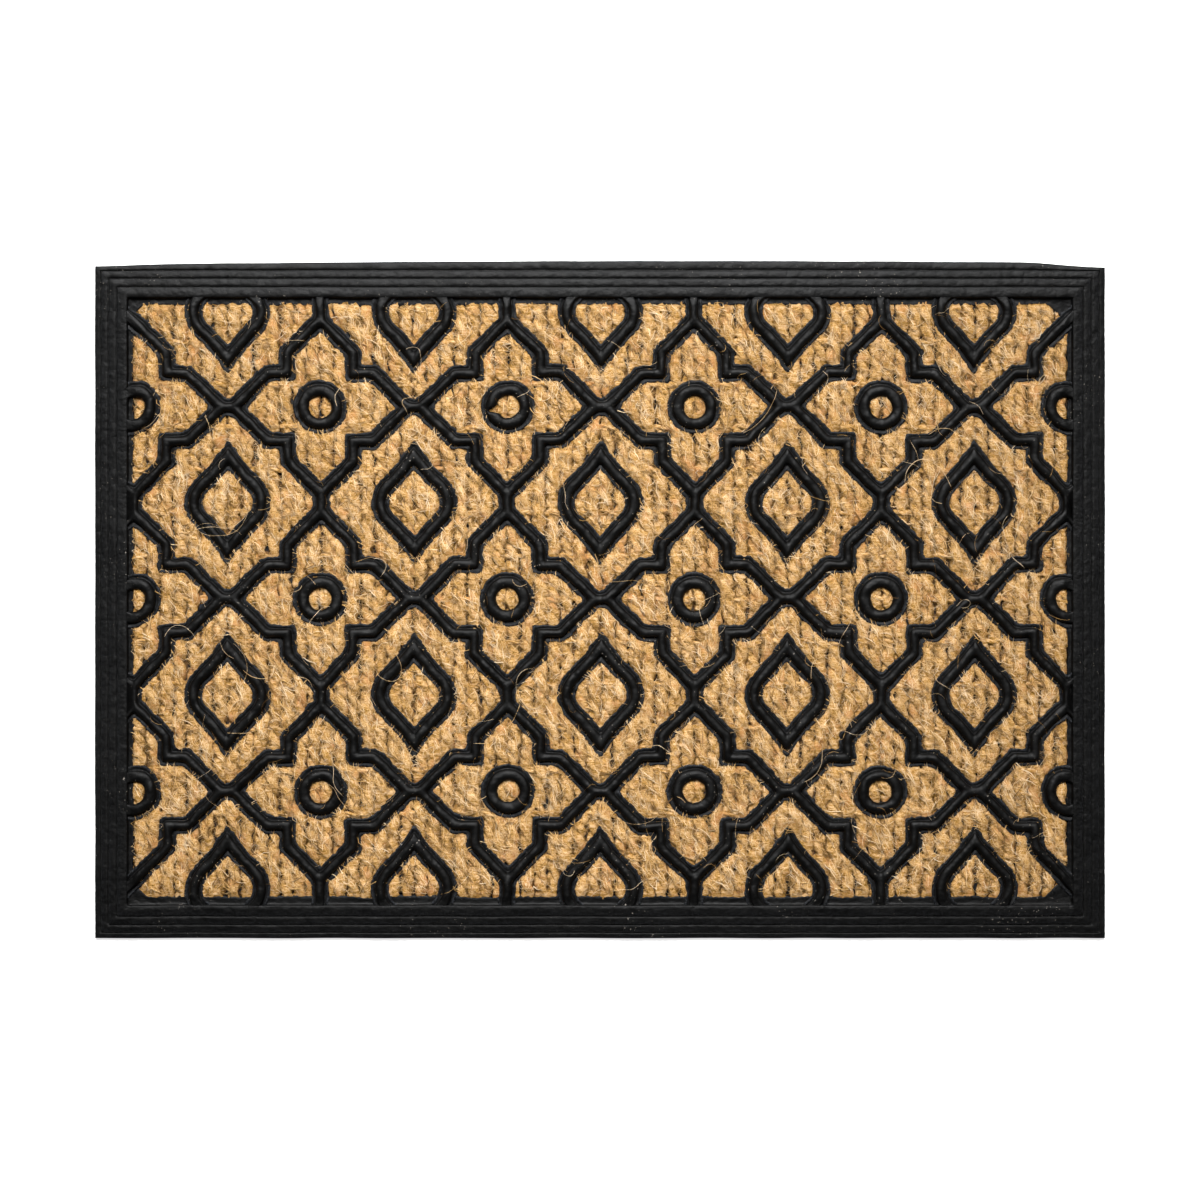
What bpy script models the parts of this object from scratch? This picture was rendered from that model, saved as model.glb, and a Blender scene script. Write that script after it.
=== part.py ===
"""Door mat of woven coir with a black rubber relief moulded into it.

The mat lies flat, long side along X, and rests on z = 0. A thin rubber sheet backs it. A stepped
rubber border runs round its edge, and a coir sheet fills the window that the border leaves. Rubber
ribs seat in channels pressed into the coir: one lattice that joins cross-shaped cells, a ring in
the middle of each cell, and a pointed drop in each space between four cells. The border cuts the
outermost rings and drops in half.
"""

import math

import bmesh
import bpy
from mathutils import Vector

MM = 0.001

# Overall size
MAT_LENGTH = 600.0 * MM
MAT_WIDTH = 400.0 * MM
BACKING_THICKNESS = 2.0 * MM

# Clearances
SAME_POINT = 1e-9       # below this two corners of an outline are one
SEAT_GAP = 0.3 * MM     # between two pieces that seat on or in each other
OVERCUT = 5.0 * MM      # how far a cutting shape runs past what it cuts
LEDGE_ROOT = 1.0 * MM   # how far the gutter floor reaches into the border before they are joined

# Border: three terraces that climb to a flat land, then a low gutter next to the coir
TERRACE_WIDTHS = (3.3 * MM, 4.9 * MM, 4.9 * MM)
TERRACE_TOPS = (3.2 * MM, 4.4 * MM, 5.7 * MM)
LAND_WIDTH = 6.9 * MM
LAND_TOP = 7.0 * MM
GUTTER_TOP = 4.8 * MM
GUTTER_SIDE_WIDTH = 2.4 * MM
GUTTER_FRONT_WIDTH = 4.7 * MM
GUTTER_REAR_WIDTH = 3.7 * MM

# Coir sheet and the channels in it
COIR_TOP = 6.5 * MM
CHANNEL_FLOOR = 3.5 * MM

# Section of every rib: a flat flange with a rounded bead along its middle
FLANGE_TOP = 5.5 * MM
BEAD_TOP = 8.2 * MM
LATTICE_FLANGE_HALF = 5.2 * MM
DROP_FLANGE_HALF = 5.35 * MM
BEAD_HALF = 3.0 * MM
CREST_HALF = 1.4 * MM

# Pattern: cells side by side, and how far the last centre line lies inside the border's land
CELL_COLUMNS = 5
CELL_ROWS = 3
END_INSET_X = 3.0 * MM
END_INSET_Y = 8.85 * MM

# Lattice: from the middle of a ring's cell to its inner corner, the straight runs that leave that
# corner, and half of the neck between two cells
STEP_X = 19.5 * MM
STEP_Y = 20.2 * MM
STEP_RUN = 12.1 * MM
NECK_HALF_X = 3.6 * MM
NECK_HALF_Y = 5.25 * MM

# Ring
RING_INNER_RADIUS = 6.6 * MM
RING_OUTER_RADIUS = 16.2 * MM
RING_BEAD_INNER_RADIUS = 7.3 * MM
RING_BEAD_OUTER_RADIUS = 13.5 * MM
RING_SEGMENTS = 16

# Drop: its centre line is a round shoulder that runs into a slightly hollow flank up to a point
DROP_HALF_WIDTH = 20.15 * MM
DROP_HALF_LENGTH = 28.4 * MM
SHOULDER_RADIUS = 14.0 * MM
TIP_HALF_ANGLE = math.radians(36.0)
SHOULDER_SEGMENTS = 2
FLANK_SEGMENTS = 1

# Sizes worked out from the ones above
BORDER_WIDTH = sum(TERRACE_WIDTHS) + LAND_WIDTH
WINDOW_HALF_X = MAT_LENGTH / 2 - BORDER_WIDTH
WINDOW_HALF_Y = MAT_WIDTH / 2 - BORDER_WIDTH
PITCH_X = 2 * (WINDOW_HALF_X - END_INSET_X) / CELL_COLUMNS
PITCH_Y = 2 * (WINDOW_HALF_Y - END_INSET_Y) / CELL_ROWS
FRAME_FLOOR = BACKING_THICKNESS + SEAT_GAP
RIB_FLOOR = CHANNEL_FLOOR + SEAT_GAP
CUT_TOP = BEAD_TOP + OVERCUT


# Plane outlines, counter-clockwise lists of (x, y)

def mirrored(quarter):
    """Complete an outline from the quarter that runs from the X axis to the Y axis."""
    backwards = quarter[::-1]
    corners = list(quarter)
    corners += [(-x, y) for x, y in backwards]
    corners += [(-x, -y) for x, y in quarter]
    corners += [(x, -y) for x, y in backwards]
    shared = [math.dist(corner, corners[i - 1]) < SAME_POINT for i, corner in enumerate(corners)]
    return [corner for corner, repeats in zip(corners, shared) if not repeats]


def moved(outline, centre):
    """Shift an outline so that its own origin lies at a centre."""
    return [(x + centre[0], y + centre[1]) for x, y in outline]


def inset(outline, distance):
    """Move every edge of an outline inwards and meet them again in sharp corners."""
    corners = [Vector(corner) for corner in outline]
    result = []
    for i, corner in enumerate(corners):
        arriving = (corner - corners[i - 1]).normalized()
        leaving = (corners[(i + 1) % len(corners)] - corner).normalized()
        normals = Vector((-arriving.y - leaving.y, arriving.x + leaving.x))
        shift = normals * distance / (1.0 + arriving.dot(leaving))
        result.append((corner.x + shift.x, corner.y + shift.y))
    return result


def rectangle(left, front, right, rear):
    """Outline of an upright rectangle."""
    return [(left, front), (right, front), (right, rear), (left, rear)]


def ring_cell():
    """Centre line of the lattice round one ring."""
    reach_x = PITCH_X / 2 - NECK_HALF_X
    reach_y = PITCH_Y / 2 - NECK_HALF_Y
    return mirrored([
        (reach_x, 0.0),
        (STEP_X + STEP_RUN, STEP_Y),
        (STEP_X, STEP_Y),
        (STEP_X, STEP_Y + STEP_RUN),
        (0.0, reach_y),
    ])


def drop_cell_quarter():
    """A quarter of the centre line round one drop, from its side neck to its end neck."""
    corner_x = PITCH_X / 2 - STEP_X
    corner_y = PITCH_Y / 2 - STEP_Y
    return [
        (PITCH_X / 2, NECK_HALF_Y),
        (corner_x, corner_y - STEP_RUN),
        (corner_x, corner_y),
        (corner_x - STEP_RUN, corner_y),
        (NECK_HALF_X, PITCH_Y / 2),
    ]


def cut_drop_cell(side):
    """Centre line round a drop that the border cuts; side is +1 at the rear and -1 in front.

    The necks beside it run straight on into the border.
    """
    past_border = END_INSET_Y + LATTICE_FLANGE_HALF + OVERCUT
    inner_half = [(x, -y) for x, y in drop_cell_quarter()][::-1]
    right_half = inner_half + [(PITCH_X / 2, past_border)]
    outline = right_half + [(-x, y) for x, y in right_half[::-1]]
    if side < 0:
        outline = [(x, -y) for x, y in outline[::-1]]
    return outline


def circle(radius):
    """Outline of a circle."""
    turns = [2 * math.pi * i / RING_SEGMENTS for i in range(RING_SEGMENTS)]
    return [(radius * math.cos(turn), radius * math.sin(turn)) for turn in turns]


def drop_outline(offset):
    """Outline that lies a distance outside the centre line of a drop.

    The shoulder is an arc whose centre is on the drop's width. The flank is an arc of the other
    sense that touches the shoulder and meets its mirror image at the tip.
    """
    shoulder_x = DROP_HALF_WIDTH - SHOULDER_RADIUS
    lean = Vector((math.cos(TIP_HALF_ANGLE), math.sin(TIP_HALF_ANGLE)))
    tip = Vector((0.0, DROP_HALF_LENGTH))
    reach = tip - Vector((shoulder_x, 0.0))
    flank_radius = (reach.length_squared - SHOULDER_RADIUS ** 2)
    flank_radius /= 2 * (SHOULDER_RADIUS - reach.dot(lean))
    flank_centre = tip + lean * flank_radius
    touch_angle = math.atan2(flank_centre.y, flank_centre.x - shoulder_x)
    quarter = []
    for i in range(SHOULDER_SEGMENTS + 1):
        angle = touch_angle * i / SHOULDER_SEGMENTS
        radius = SHOULDER_RADIUS + offset
        quarter.append((shoulder_x + radius * math.cos(angle), radius * math.sin(angle)))
    flank = flank_radius - offset
    tip_angle = math.acos(flank_centre.x / flank)
    for i in range(1, FLANK_SEGMENTS + 1):
        angle = touch_angle + (tip_angle - touch_angle) * i / FLANK_SEGMENTS
        quarter.append((flank_centre.x - flank * math.cos(angle),
                        flank_centre.y - flank * math.sin(angle)))
    return mirrored(quarter)


# Meshes

def new_object(name, loops, closed):
    """Join outlines of equal length, each with its height, into one closed mesh.

    loops is a list of (outline, height). With closed the last loop joins the first, which makes a
    ring-shaped body; otherwise both ends are filled.
    """
    mesh = bpy.data.meshes.new(name)
    shape = bmesh.new()
    rows = [[shape.verts.new((x, y, height)) for x, y in outline] for outline, height in loops]
    pairs = list(zip(rows, rows[1:]))
    if closed:
        pairs.append((rows[-1], rows[0]))
    for lower, upper in pairs:
        for i in range(len(lower)):
            shape.faces.new((lower[i - 1], lower[i], upper[i], upper[i - 1]))
    if not closed:
        shape.faces.new(rows[0][::-1])
        shape.faces.new(rows[-1])
    bmesh.ops.recalc_face_normals(shape, faces=shape.faces)
    shape.to_mesh(mesh)
    shape.free()
    solid = bpy.data.objects.new(name, mesh)
    bpy.context.scene.collection.objects.link(solid)
    return solid


def prism(name, outline, bottom, top):
    """Upright solid with one outline."""
    return new_object(name, [(outline, bottom), (outline, top)], closed=False)


def joined(name, solids):
    """Put the meshes of several separate solids into one object."""
    mesh = bpy.data.meshes.new(name)
    shape = bmesh.new()
    for solid in solids:
        shape.from_mesh(solid.data)
        bpy.data.objects.remove(solid)
    shape.to_mesh(mesh)
    shape.free()
    group = bpy.data.objects.new(name, mesh)
    bpy.context.scene.collection.objects.link(group)
    return group


def as_cutter(solid):
    """Keep a solid as a cutting shape only."""
    solid.hide_render = True
    solid.display_type = 'WIRE'
    return solid


def combine(solid, operand, operation):
    """Cut, join or trim a solid with another one."""
    modifier = solid.modifiers.new(operand.name, 'BOOLEAN')
    modifier.object = operand
    modifier.operation = operation
    modifier.solver = 'EXACT'


def add_material(name, colour, roughness):
    """Make a plain Principled material."""
    material = bpy.data.materials.new(name)
    material.use_nodes = True
    shader = material.node_tree.nodes['Principled BSDF']
    shader.inputs['Base Color'].default_value = (*colour, 1.0)
    shader.inputs['Roughness'].default_value = roughness
    shader.inputs['Metallic'].default_value = 0.0
    return material


# Places of the pattern

def ring_centres():
    """Yield (name, centre, is_half) of every ring, row by row from the front left."""
    for row in range(CELL_ROWS):
        for column in range(CELL_COLUMNS + 1):
            centre = ((column - CELL_COLUMNS / 2) * PITCH_X, (row - (CELL_ROWS - 1) / 2) * PITCH_Y)
            is_half = column in (0, CELL_COLUMNS)
            kind = 'half_ring' if is_half else 'ring'
            yield f'{kind}_{row + 1}_{column + 1}', centre, is_half


def drop_centres():
    """Yield (name, centre, side) of every drop; side is 0 for a whole one."""
    for row in range(CELL_ROWS + 1):
        for column in range(CELL_COLUMNS):
            centre = ((column - (CELL_COLUMNS - 1) / 2) * PITCH_X, (row - CELL_ROWS / 2) * PITCH_Y)
            side = {0: -1, CELL_ROWS: 1}.get(row, 0)
            kind = 'half_drop' if side else 'drop'
            yield f'{kind}_{row + 1}_{column + 1}', centre, side


def cell_outlines():
    """Centre lines of all the cells that the lattice leaves open."""
    outlines = [moved(ring_cell(), centre) for _, centre, _ in ring_centres()]
    for _, centre, side in drop_centres():
        outline = cut_drop_cell(side) if side else mirrored(drop_cell_quarter())
        outlines.append(moved(outline, centre))
    return outlines


# Parts

def make_backing():
    """The rubber sheet under everything."""
    outline = rectangle(-MAT_LENGTH / 2, -MAT_WIDTH / 2, MAT_LENGTH / 2, MAT_WIDTH / 2)
    return prism('backing_sheet', outline, 0.0, BACKING_THICKNESS)


def make_border(channels):
    """The stepped frame, with the gutter floor that the ribs' channels cross."""
    outer = rectangle(-MAT_LENGTH / 2, -MAT_WIDTH / 2, MAT_LENGTH / 2, MAT_WIDTH / 2)
    loops = [(outer, FRAME_FLOOR)]
    reach = 0.0
    for width, top in zip((*TERRACE_WIDTHS, LAND_WIDTH), (*TERRACE_TOPS, LAND_TOP)):
        loops.append((inset(outer, reach), top))
        reach += width
        loops.append((inset(outer, reach), top))
    loops.append((inset(outer, reach), FRAME_FLOOR))
    border = new_object('border_frame', loops, closed=True)
    root = inset(outer, reach - LEDGE_ROOT)
    ledge = new_object('gutter_floor', [
        (root, FRAME_FLOOR),
        (root, GUTTER_TOP),
        (coir_window(0.0), GUTTER_TOP),
        (coir_window(0.0), FRAME_FLOOR),
    ], closed=True)
    for channel in channels:
        combine(ledge, channel, 'DIFFERENCE')
    combine(border, as_cutter(ledge), 'UNION')
    return border


def coir_window(gap):
    """Outline inside the gutters, a gap smaller all round."""
    return rectangle(
        GUTTER_SIDE_WIDTH + gap - WINDOW_HALF_X,
        GUTTER_FRONT_WIDTH + gap - WINDOW_HALF_Y,
        WINDOW_HALF_X - GUTTER_SIDE_WIDTH - gap,
        WINDOW_HALF_Y - GUTTER_REAR_WIDTH - gap,
    )


def make_coir(channels):
    """The woven sheet, pressed down into channels where the ribs seat."""
    coir = prism('coir_mat', coir_window(SEAT_GAP), FRAME_FLOOR, COIR_TOP)
    for channel in channels:
        combine(coir, channel, 'DIFFERENCE')
    return coir


def window_block(name, gap, bottom, top):
    """Solid block over the border's window, a gap smaller all round."""
    half_x = WINDOW_HALF_X - gap
    half_y = WINDOW_HALF_Y - gap
    return prism(name, rectangle(-half_x, -half_y, half_x, half_y), bottom, top)


def make_lattice():
    """The one network of ribs that joins the border on all four sides."""
    lattice = window_block('lattice', SEAT_GAP, RIB_FLOOR, BEAD_TOP)
    section = [
        (LATTICE_FLANGE_HALF, RIB_FLOOR - OVERCUT),
        (LATTICE_FLANGE_HALF, FLANGE_TOP),
        (BEAD_HALF, FLANGE_TOP),
        (CREST_HALF, BEAD_TOP),
        (CREST_HALF, CUT_TOP),
    ]
    cells = []
    for outline in cell_outlines():
        loops = [(inset(outline, half_width), height) for half_width, height in section]
        cells.append(new_object('cell', loops, closed=False))
    combine(lattice, as_cutter(joined('lattice_cells', cells)), 'DIFFERENCE')
    return lattice


def make_lattice_channel():
    """Cutting shape for the channel that the lattice seats in."""
    channel = window_block('lattice_channel', -OVERCUT, CHANNEL_FLOOR, CUT_TOP)
    pads = [
        prism('pad', inset(outline, LATTICE_FLANGE_HALF + SEAT_GAP), CHANNEL_FLOOR - OVERCUT,
              CUT_TOP + OVERCUT)
        for outline in cell_outlines()
    ]
    combine(channel, as_cutter(joined('lattice_pads', pads)), 'DIFFERENCE')
    return as_cutter(channel)


def ring_rib(name, centre):
    """One ring with its bead, nearer its inner edge."""
    section = [
        (RING_OUTER_RADIUS, RIB_FLOOR),
        (RING_OUTER_RADIUS, FLANGE_TOP),
        (RING_BEAD_OUTER_RADIUS, FLANGE_TOP),
        (RING_BEAD_OUTER_RADIUS - BEAD_HALF + CREST_HALF, BEAD_TOP),
        (RING_BEAD_INNER_RADIUS + BEAD_HALF - CREST_HALF, BEAD_TOP),
        (RING_BEAD_INNER_RADIUS, FLANGE_TOP),
        (RING_INNER_RADIUS, RIB_FLOOR),
    ]
    return new_object(name, [(moved(circle(radius), centre), z) for radius, z in section],
                      closed=True)


def drop_rib(name, centre):
    """One drop with a bead along the middle of its band."""
    rising = [
        (DROP_FLANGE_HALF, RIB_FLOOR),
        (DROP_FLANGE_HALF, FLANGE_TOP),
        (BEAD_HALF, FLANGE_TOP),
        (CREST_HALF, BEAD_TOP),
    ]
    section = rising + [(-offset, height) for offset, height in rising[::-1]]
    return new_object(name, [(moved(drop_outline(offset), centre), z) for offset, z in section],
                      closed=True)


def make_channels():
    """Cutting shapes for the channels of the rings and of the drops."""
    rings = []
    for _, centre, _ in ring_centres():
        radii = (RING_OUTER_RADIUS + SEAT_GAP, RING_INNER_RADIUS - SEAT_GAP)
        outlines = [moved(circle(radius), centre) for radius in radii]
        rings.append(channel_ring(outlines))
    drops = []
    for _, centre, _ in drop_centres():
        offsets = (DROP_FLANGE_HALF + SEAT_GAP, -DROP_FLANGE_HALF - SEAT_GAP)
        outlines = [moved(drop_outline(offset), centre) for offset in offsets]
        drops.append(channel_ring(outlines))
    return [as_cutter(joined('ring_channels', rings)), as_cutter(joined('drop_channels', drops))]


def channel_ring(outlines):
    """Upright band between an outer and an inner outline."""
    outer, inner = outlines
    return new_object('channel', [
        (outer, CHANNEL_FLOOR),
        (outer, CUT_TOP),
        (inner, CUT_TOP),
        (inner, CHANNEL_FLOOR),
    ], closed=True)


def main():
    for old in list(bpy.data.objects):
        bpy.data.objects.remove(old)
    rubber = add_material('black_rubber', (0.018, 0.017, 0.016), 0.55)
    coir_fibre = add_material('golden_coir', (0.53, 0.32, 0.13), 0.95)

    trim = as_cutter(window_block('window_trim', SEAT_GAP, RIB_FLOOR - OVERCUT, CUT_TOP))
    channels = [make_lattice_channel(), *make_channels()]
    rubber_parts = [make_backing(), make_border(channels), make_lattice()]
    for name, centre, is_half in ring_centres():
        ring = ring_rib(name, centre)
        rubber_parts.append(ring)
        if is_half:
            combine(ring, trim, 'INTERSECT')
    for name, centre, side in drop_centres():
        drop = drop_rib(name, centre)
        rubber_parts.append(drop)
        if side:
            combine(drop, trim, 'INTERSECT')
    coir = make_coir(channels)

    for part in rubber_parts:
        part.data.materials.append(rubber)
    coir.data.materials.append(coir_fibre)


main()
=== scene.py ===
import logging
import math
from collections.abc import Callable
from dataclasses import dataclass, replace
from enum import Enum
from typing import ClassVar

import bmesh
import bpy
import numpy as np
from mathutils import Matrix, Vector
from mathutils.bvhtree import BVHTree


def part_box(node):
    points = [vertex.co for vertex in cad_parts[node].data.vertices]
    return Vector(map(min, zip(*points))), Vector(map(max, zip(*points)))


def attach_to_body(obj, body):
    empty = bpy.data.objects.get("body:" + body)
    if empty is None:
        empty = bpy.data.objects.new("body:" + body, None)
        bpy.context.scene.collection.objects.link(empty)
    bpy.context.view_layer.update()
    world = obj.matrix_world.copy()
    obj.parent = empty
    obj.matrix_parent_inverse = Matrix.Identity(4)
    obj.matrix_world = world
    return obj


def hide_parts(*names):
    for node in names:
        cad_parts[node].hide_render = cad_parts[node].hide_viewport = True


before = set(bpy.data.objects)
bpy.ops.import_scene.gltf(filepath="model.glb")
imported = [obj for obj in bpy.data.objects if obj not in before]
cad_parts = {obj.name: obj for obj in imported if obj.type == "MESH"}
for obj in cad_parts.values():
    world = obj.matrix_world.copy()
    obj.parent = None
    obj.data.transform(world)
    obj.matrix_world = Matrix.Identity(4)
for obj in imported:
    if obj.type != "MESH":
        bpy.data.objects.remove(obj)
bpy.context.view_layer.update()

log = logging.getLogger("door_mat")

MM = 0.001
ROOT_BODY = "root"
SEED = 20
FAR = 1000.0

# Numbers of a Mix node's two colour inputs and of its colour output.
MIX_FIRST, MIX_SECOND, MIX_RESULT = 6, 7, 2


# ---------------------------------------------------------------------------------------------
# Node trees
# ---------------------------------------------------------------------------------------------

class Value:
    """A socket of a node tree. Arithmetic on it adds Math nodes."""

    def __init__(self, graph: "Graph", socket: bpy.types.NodeSocket) -> None:
        """Wrap one output socket of a graph."""
        self.graph = graph
        self.socket = socket

    def _math(self, operation: str, *operands: "Value | float") -> "Value":
        """Add one Math node.

        Args:
            operation: The Math node's operation.
            operands: Its inputs in order.

        Returns:
            The node's result.
        """
        inputs = dict(enumerate(operands))
        return self.graph.node("ShaderNodeMath", {"operation": operation}, inputs)[0]

    def __add__(self, other: "Value | float") -> "Value":
        """Sum."""
        return self._math("ADD", self, other)

    def __radd__(self, other: float) -> "Value":
        """Sum with a number on the left."""
        return self._math("ADD", other, self)

    def __sub__(self, other: "Value | float") -> "Value":
        """Difference."""
        return self._math("SUBTRACT", self, other)

    def __rsub__(self, other: float) -> "Value":
        """Difference with a number on the left."""
        return self._math("SUBTRACT", other, self)

    def __mul__(self, other: "Value | float") -> "Value":
        """Product."""
        return self._math("MULTIPLY", self, other)

    def __rmul__(self, other: float) -> "Value":
        """Product with a number on the left."""
        return self._math("MULTIPLY", other, self)

    def __truediv__(self, other: "Value | float") -> "Value":
        """Quotient."""
        return self._math("DIVIDE", self, other)

    def sine(self) -> "Value":
        """Sine of an angle in radians."""
        return self._math("SINE", self)

    def cosine(self) -> "Value":
        """Cosine of an angle in radians."""
        return self._math("COSINE", self)

    def ramp(self, low: float, high: float) -> "Value":
        """Smooth step from 0 at low to 1 at high."""
        settings = {"interpolation_type": "SMOOTHSTEP"}
        inputs = {"Value": self, "From Min": low, "From Max": high}
        return self.graph.node("ShaderNodeMapRange", settings, inputs)["Result"]


class Node:
    """A node whose outputs read as Values by name or number."""

    def __init__(self, graph: "Graph", node: bpy.types.Node) -> None:
        """Wrap one node of a graph."""
        self.graph = graph
        self.node = node

    def __getitem__(self, output: str | int) -> Value:
        """Output socket by name or number."""
        return Value(self.graph, self.node.outputs[output])


class Graph:
    """Builder for one node tree, of a material or of a modifier."""

    def __init__(self, tree: bpy.types.NodeTree) -> None:
        """Start building in a tree."""
        self.tree = tree

    def node(self, kind: str, settings: dict | None = None, inputs: dict | None = None) -> Node:
        """Add a node.

        Args:
            kind: The node's type.
            settings: Its properties, set first; "stops" holds a colour ramp's stops.
            inputs: Links or plain values by socket name or number.

        Returns:
            The new node.
        """
        made = self.tree.nodes.new(kind)
        for key, value in (settings or {}).items():
            if key == "stops":
                self._set_stops(made.color_ramp, value)
            else:
                setattr(made, key, value)
        for key, value in (inputs or {}).items():
            self.feed(made.inputs[key], value)
        return Node(self, made)

    def _set_stops(self, ramp: bpy.types.ColorRamp, stops: list) -> None:
        """Give a colour ramp its (position, colour) stops."""
        while len(ramp.elements) < len(stops):
            ramp.elements.new(1.0)
        for element, (position, colour) in zip(ramp.elements, stops):
            element.position = position
            element.color = (*colour, 1.0)

    def feed(self, socket: bpy.types.NodeSocket, value: object) -> None:
        """Link a Value to an input, or set the input's own value."""
        if isinstance(value, Value):
            self.tree.links.new(value.socket, socket)
        else:
            socket.default_value = value

    def mix(self, factor: Value, first: "Value | tuple", second: "Value | tuple") -> Value:
        """Mix two colours, from the first at 0 to the second at 1."""
        sides = [(*side, 1.0) if isinstance(side, tuple) else side for side in (first, second)]
        inputs = {"Factor": factor, MIX_FIRST: sides[0], MIX_SECOND: sides[1]}
        return self.node("ShaderNodeMix", {"data_type": "RGBA"}, inputs)[MIX_RESULT]

    def noise(self, vector: Value, scale: float, detail: float = 2.0, rough: float = 0.5) -> Value:
        """Noise between 0 and 1 over a vector."""
        inputs = {"Vector": vector, "Scale": scale, "Detail": detail, "Roughness": rough}
        return self.node("ShaderNodeTexNoise", None, inputs)["Fac"]


# ---------------------------------------------------------------------------------------------
# Finishes
# ---------------------------------------------------------------------------------------------

class Slot(Enum):
    """The record's material slots."""

    RUBBER = "black_rubber"
    COIR = "golden_coir"


class Grain(Enum):
    """Direction, in degrees from X, that the fibres of a coir piece follow."""

    ALONG_WEFT = 112.0
    ALONG_WARP = 8.0


def start_material(name: str, roughness: float, specular: float) -> tuple[Graph, bpy.types.Node]:
    """Make a material with an empty Principled shader.

    Args:
        name: The material's name.
        roughness: Its roughness where nothing is linked.
        specular: Its specular level.

    Returns:
        The graph to build in and the shader node.
    """
    material = bpy.data.materials.new(name)
    material.use_nodes = True
    shader = material.node_tree.nodes["Principled BSDF"]
    shader.inputs["Roughness"].default_value = roughness
    shader.inputs["Specular IOR Level"].default_value = specular
    return Graph(material.node_tree), shader


def object_position(graph: Graph) -> Value:
    """Object coordinates in a material's graph."""
    return graph.node("ShaderNodeTexCoord")["Object"]


def bump(graph: Graph, height: Value, strength: float, distance: float,
         normal: Value | None = None) -> Value:
    """Bumped normal from a height field.

    Args:
        graph: The material's graph.
        height: Height from 0 to 1.
        strength: Strength of the bump.
        distance: Height of 1, in metres.
        normal: Normal that is bumped already, if any.

    Returns:
        The normal to feed a shader.
    """
    inputs = {"Height": height, "Strength": strength, "Distance": distance}
    if normal is not None:
        inputs["Normal"] = normal
    return graph.node("ShaderNodeBump", None, inputs)["Normal"]


@dataclass(frozen=True)
class Finish:
    """Material that a subclass paints. Each of its scales is a pattern's fineness per metre."""

    name: str
    roughness: ClassVar[float]
    specular: ClassVar[float]

    def build(self) -> bpy.types.Material:
        """Build the material.

        Returns:
            The finished material.
        """
        graph, shader = start_material(self.name, self.roughness, self.specular)
        self.paint(graph, shader.inputs, object_position(graph))
        return bpy.data.materials[self.name]

    def paint(self, graph: Graph, shader: bpy.types.NodeInputs, position: Value) -> None:
        """Feed the shader.

        Args:
            graph: The material's graph.
            shader: The shader's inputs.
            position: Object coordinates.
        """
        raise NotImplementedError


@dataclass(frozen=True)
class RubberFinish(Finish):
    """Moulded black rubber: satin crowns, dull grain, pale scuffed edges and dust.

    It reads the attribute "edge", 1 on a flange's torn rim.
    """

    name: str = "moulded_rubber"
    roughness: ClassVar[float] = 0.5
    specular: ClassVar[float] = 0.13
    dark: tuple[float, float, float] = (0.0, 0.0, 0.0)
    light: tuple[float, float, float] = (0.0013, 0.0013, 0.0012)
    scuff: tuple[float, float, float] = (0.022, 0.024, 0.028)
    dust: tuple[float, float, float] = (0.20, 0.18, 0.155)
    dust_limit: float = 0.715
    dust_edge: float = 0.04
    cloud_scale: float = 45.0
    dent_scale: float = 210.0
    grain_scale: float = 900.0
    speck_scale: float = 760.0
    patch_scale: float = 22.0
    smoothest: float = 0.29
    dent_depth: float = 0.0011
    grain_depth: float = 0.00012

    def paint(self, graph: Graph, shader: bpy.types.NodeInputs, position: Value) -> None:
        """Feed the shader."""
        cloud = graph.noise(position, self.cloud_scale, 3.0)
        dent = graph.noise(position, self.dent_scale, 2.0)
        grain = graph.noise(position, self.grain_scale, 4.0, 0.65)
        edge = graph.node("ShaderNodeAttribute", {"attribute_name": "edge"})["Fac"]
        tone = (cloud * 0.55 + grain * 0.6 - 0.08).ramp(0.2, 0.8)
        base = graph.mix(tone, self.dark, self.light)
        torn = edge * grain.ramp(0.44, 0.60)
        worn = graph.mix(torn, base, self.scuff)
        specks = graph.noise(position, self.speck_scale, 1.0)
        specks = specks.ramp(self.dust_limit, self.dust_limit + self.dust_edge)
        patches = graph.noise(position, self.patch_scale, 2.0).ramp(0.47, 0.70)
        dusty = graph.mix(specks * patches, worn, self.dust)
        graph.feed(shader["Base Color"], dusty)
        rough = self.smoothest + cloud * 0.20 + grain * 0.16 + dent * 0.12 + torn * 0.2
        graph.feed(shader["Roughness"], rough)
        fine = bump(graph, grain, 0.6, self.grain_depth)
        graph.feed(shader["Normal"], bump(graph, dent, 0.7, self.dent_depth, fine))


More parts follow.
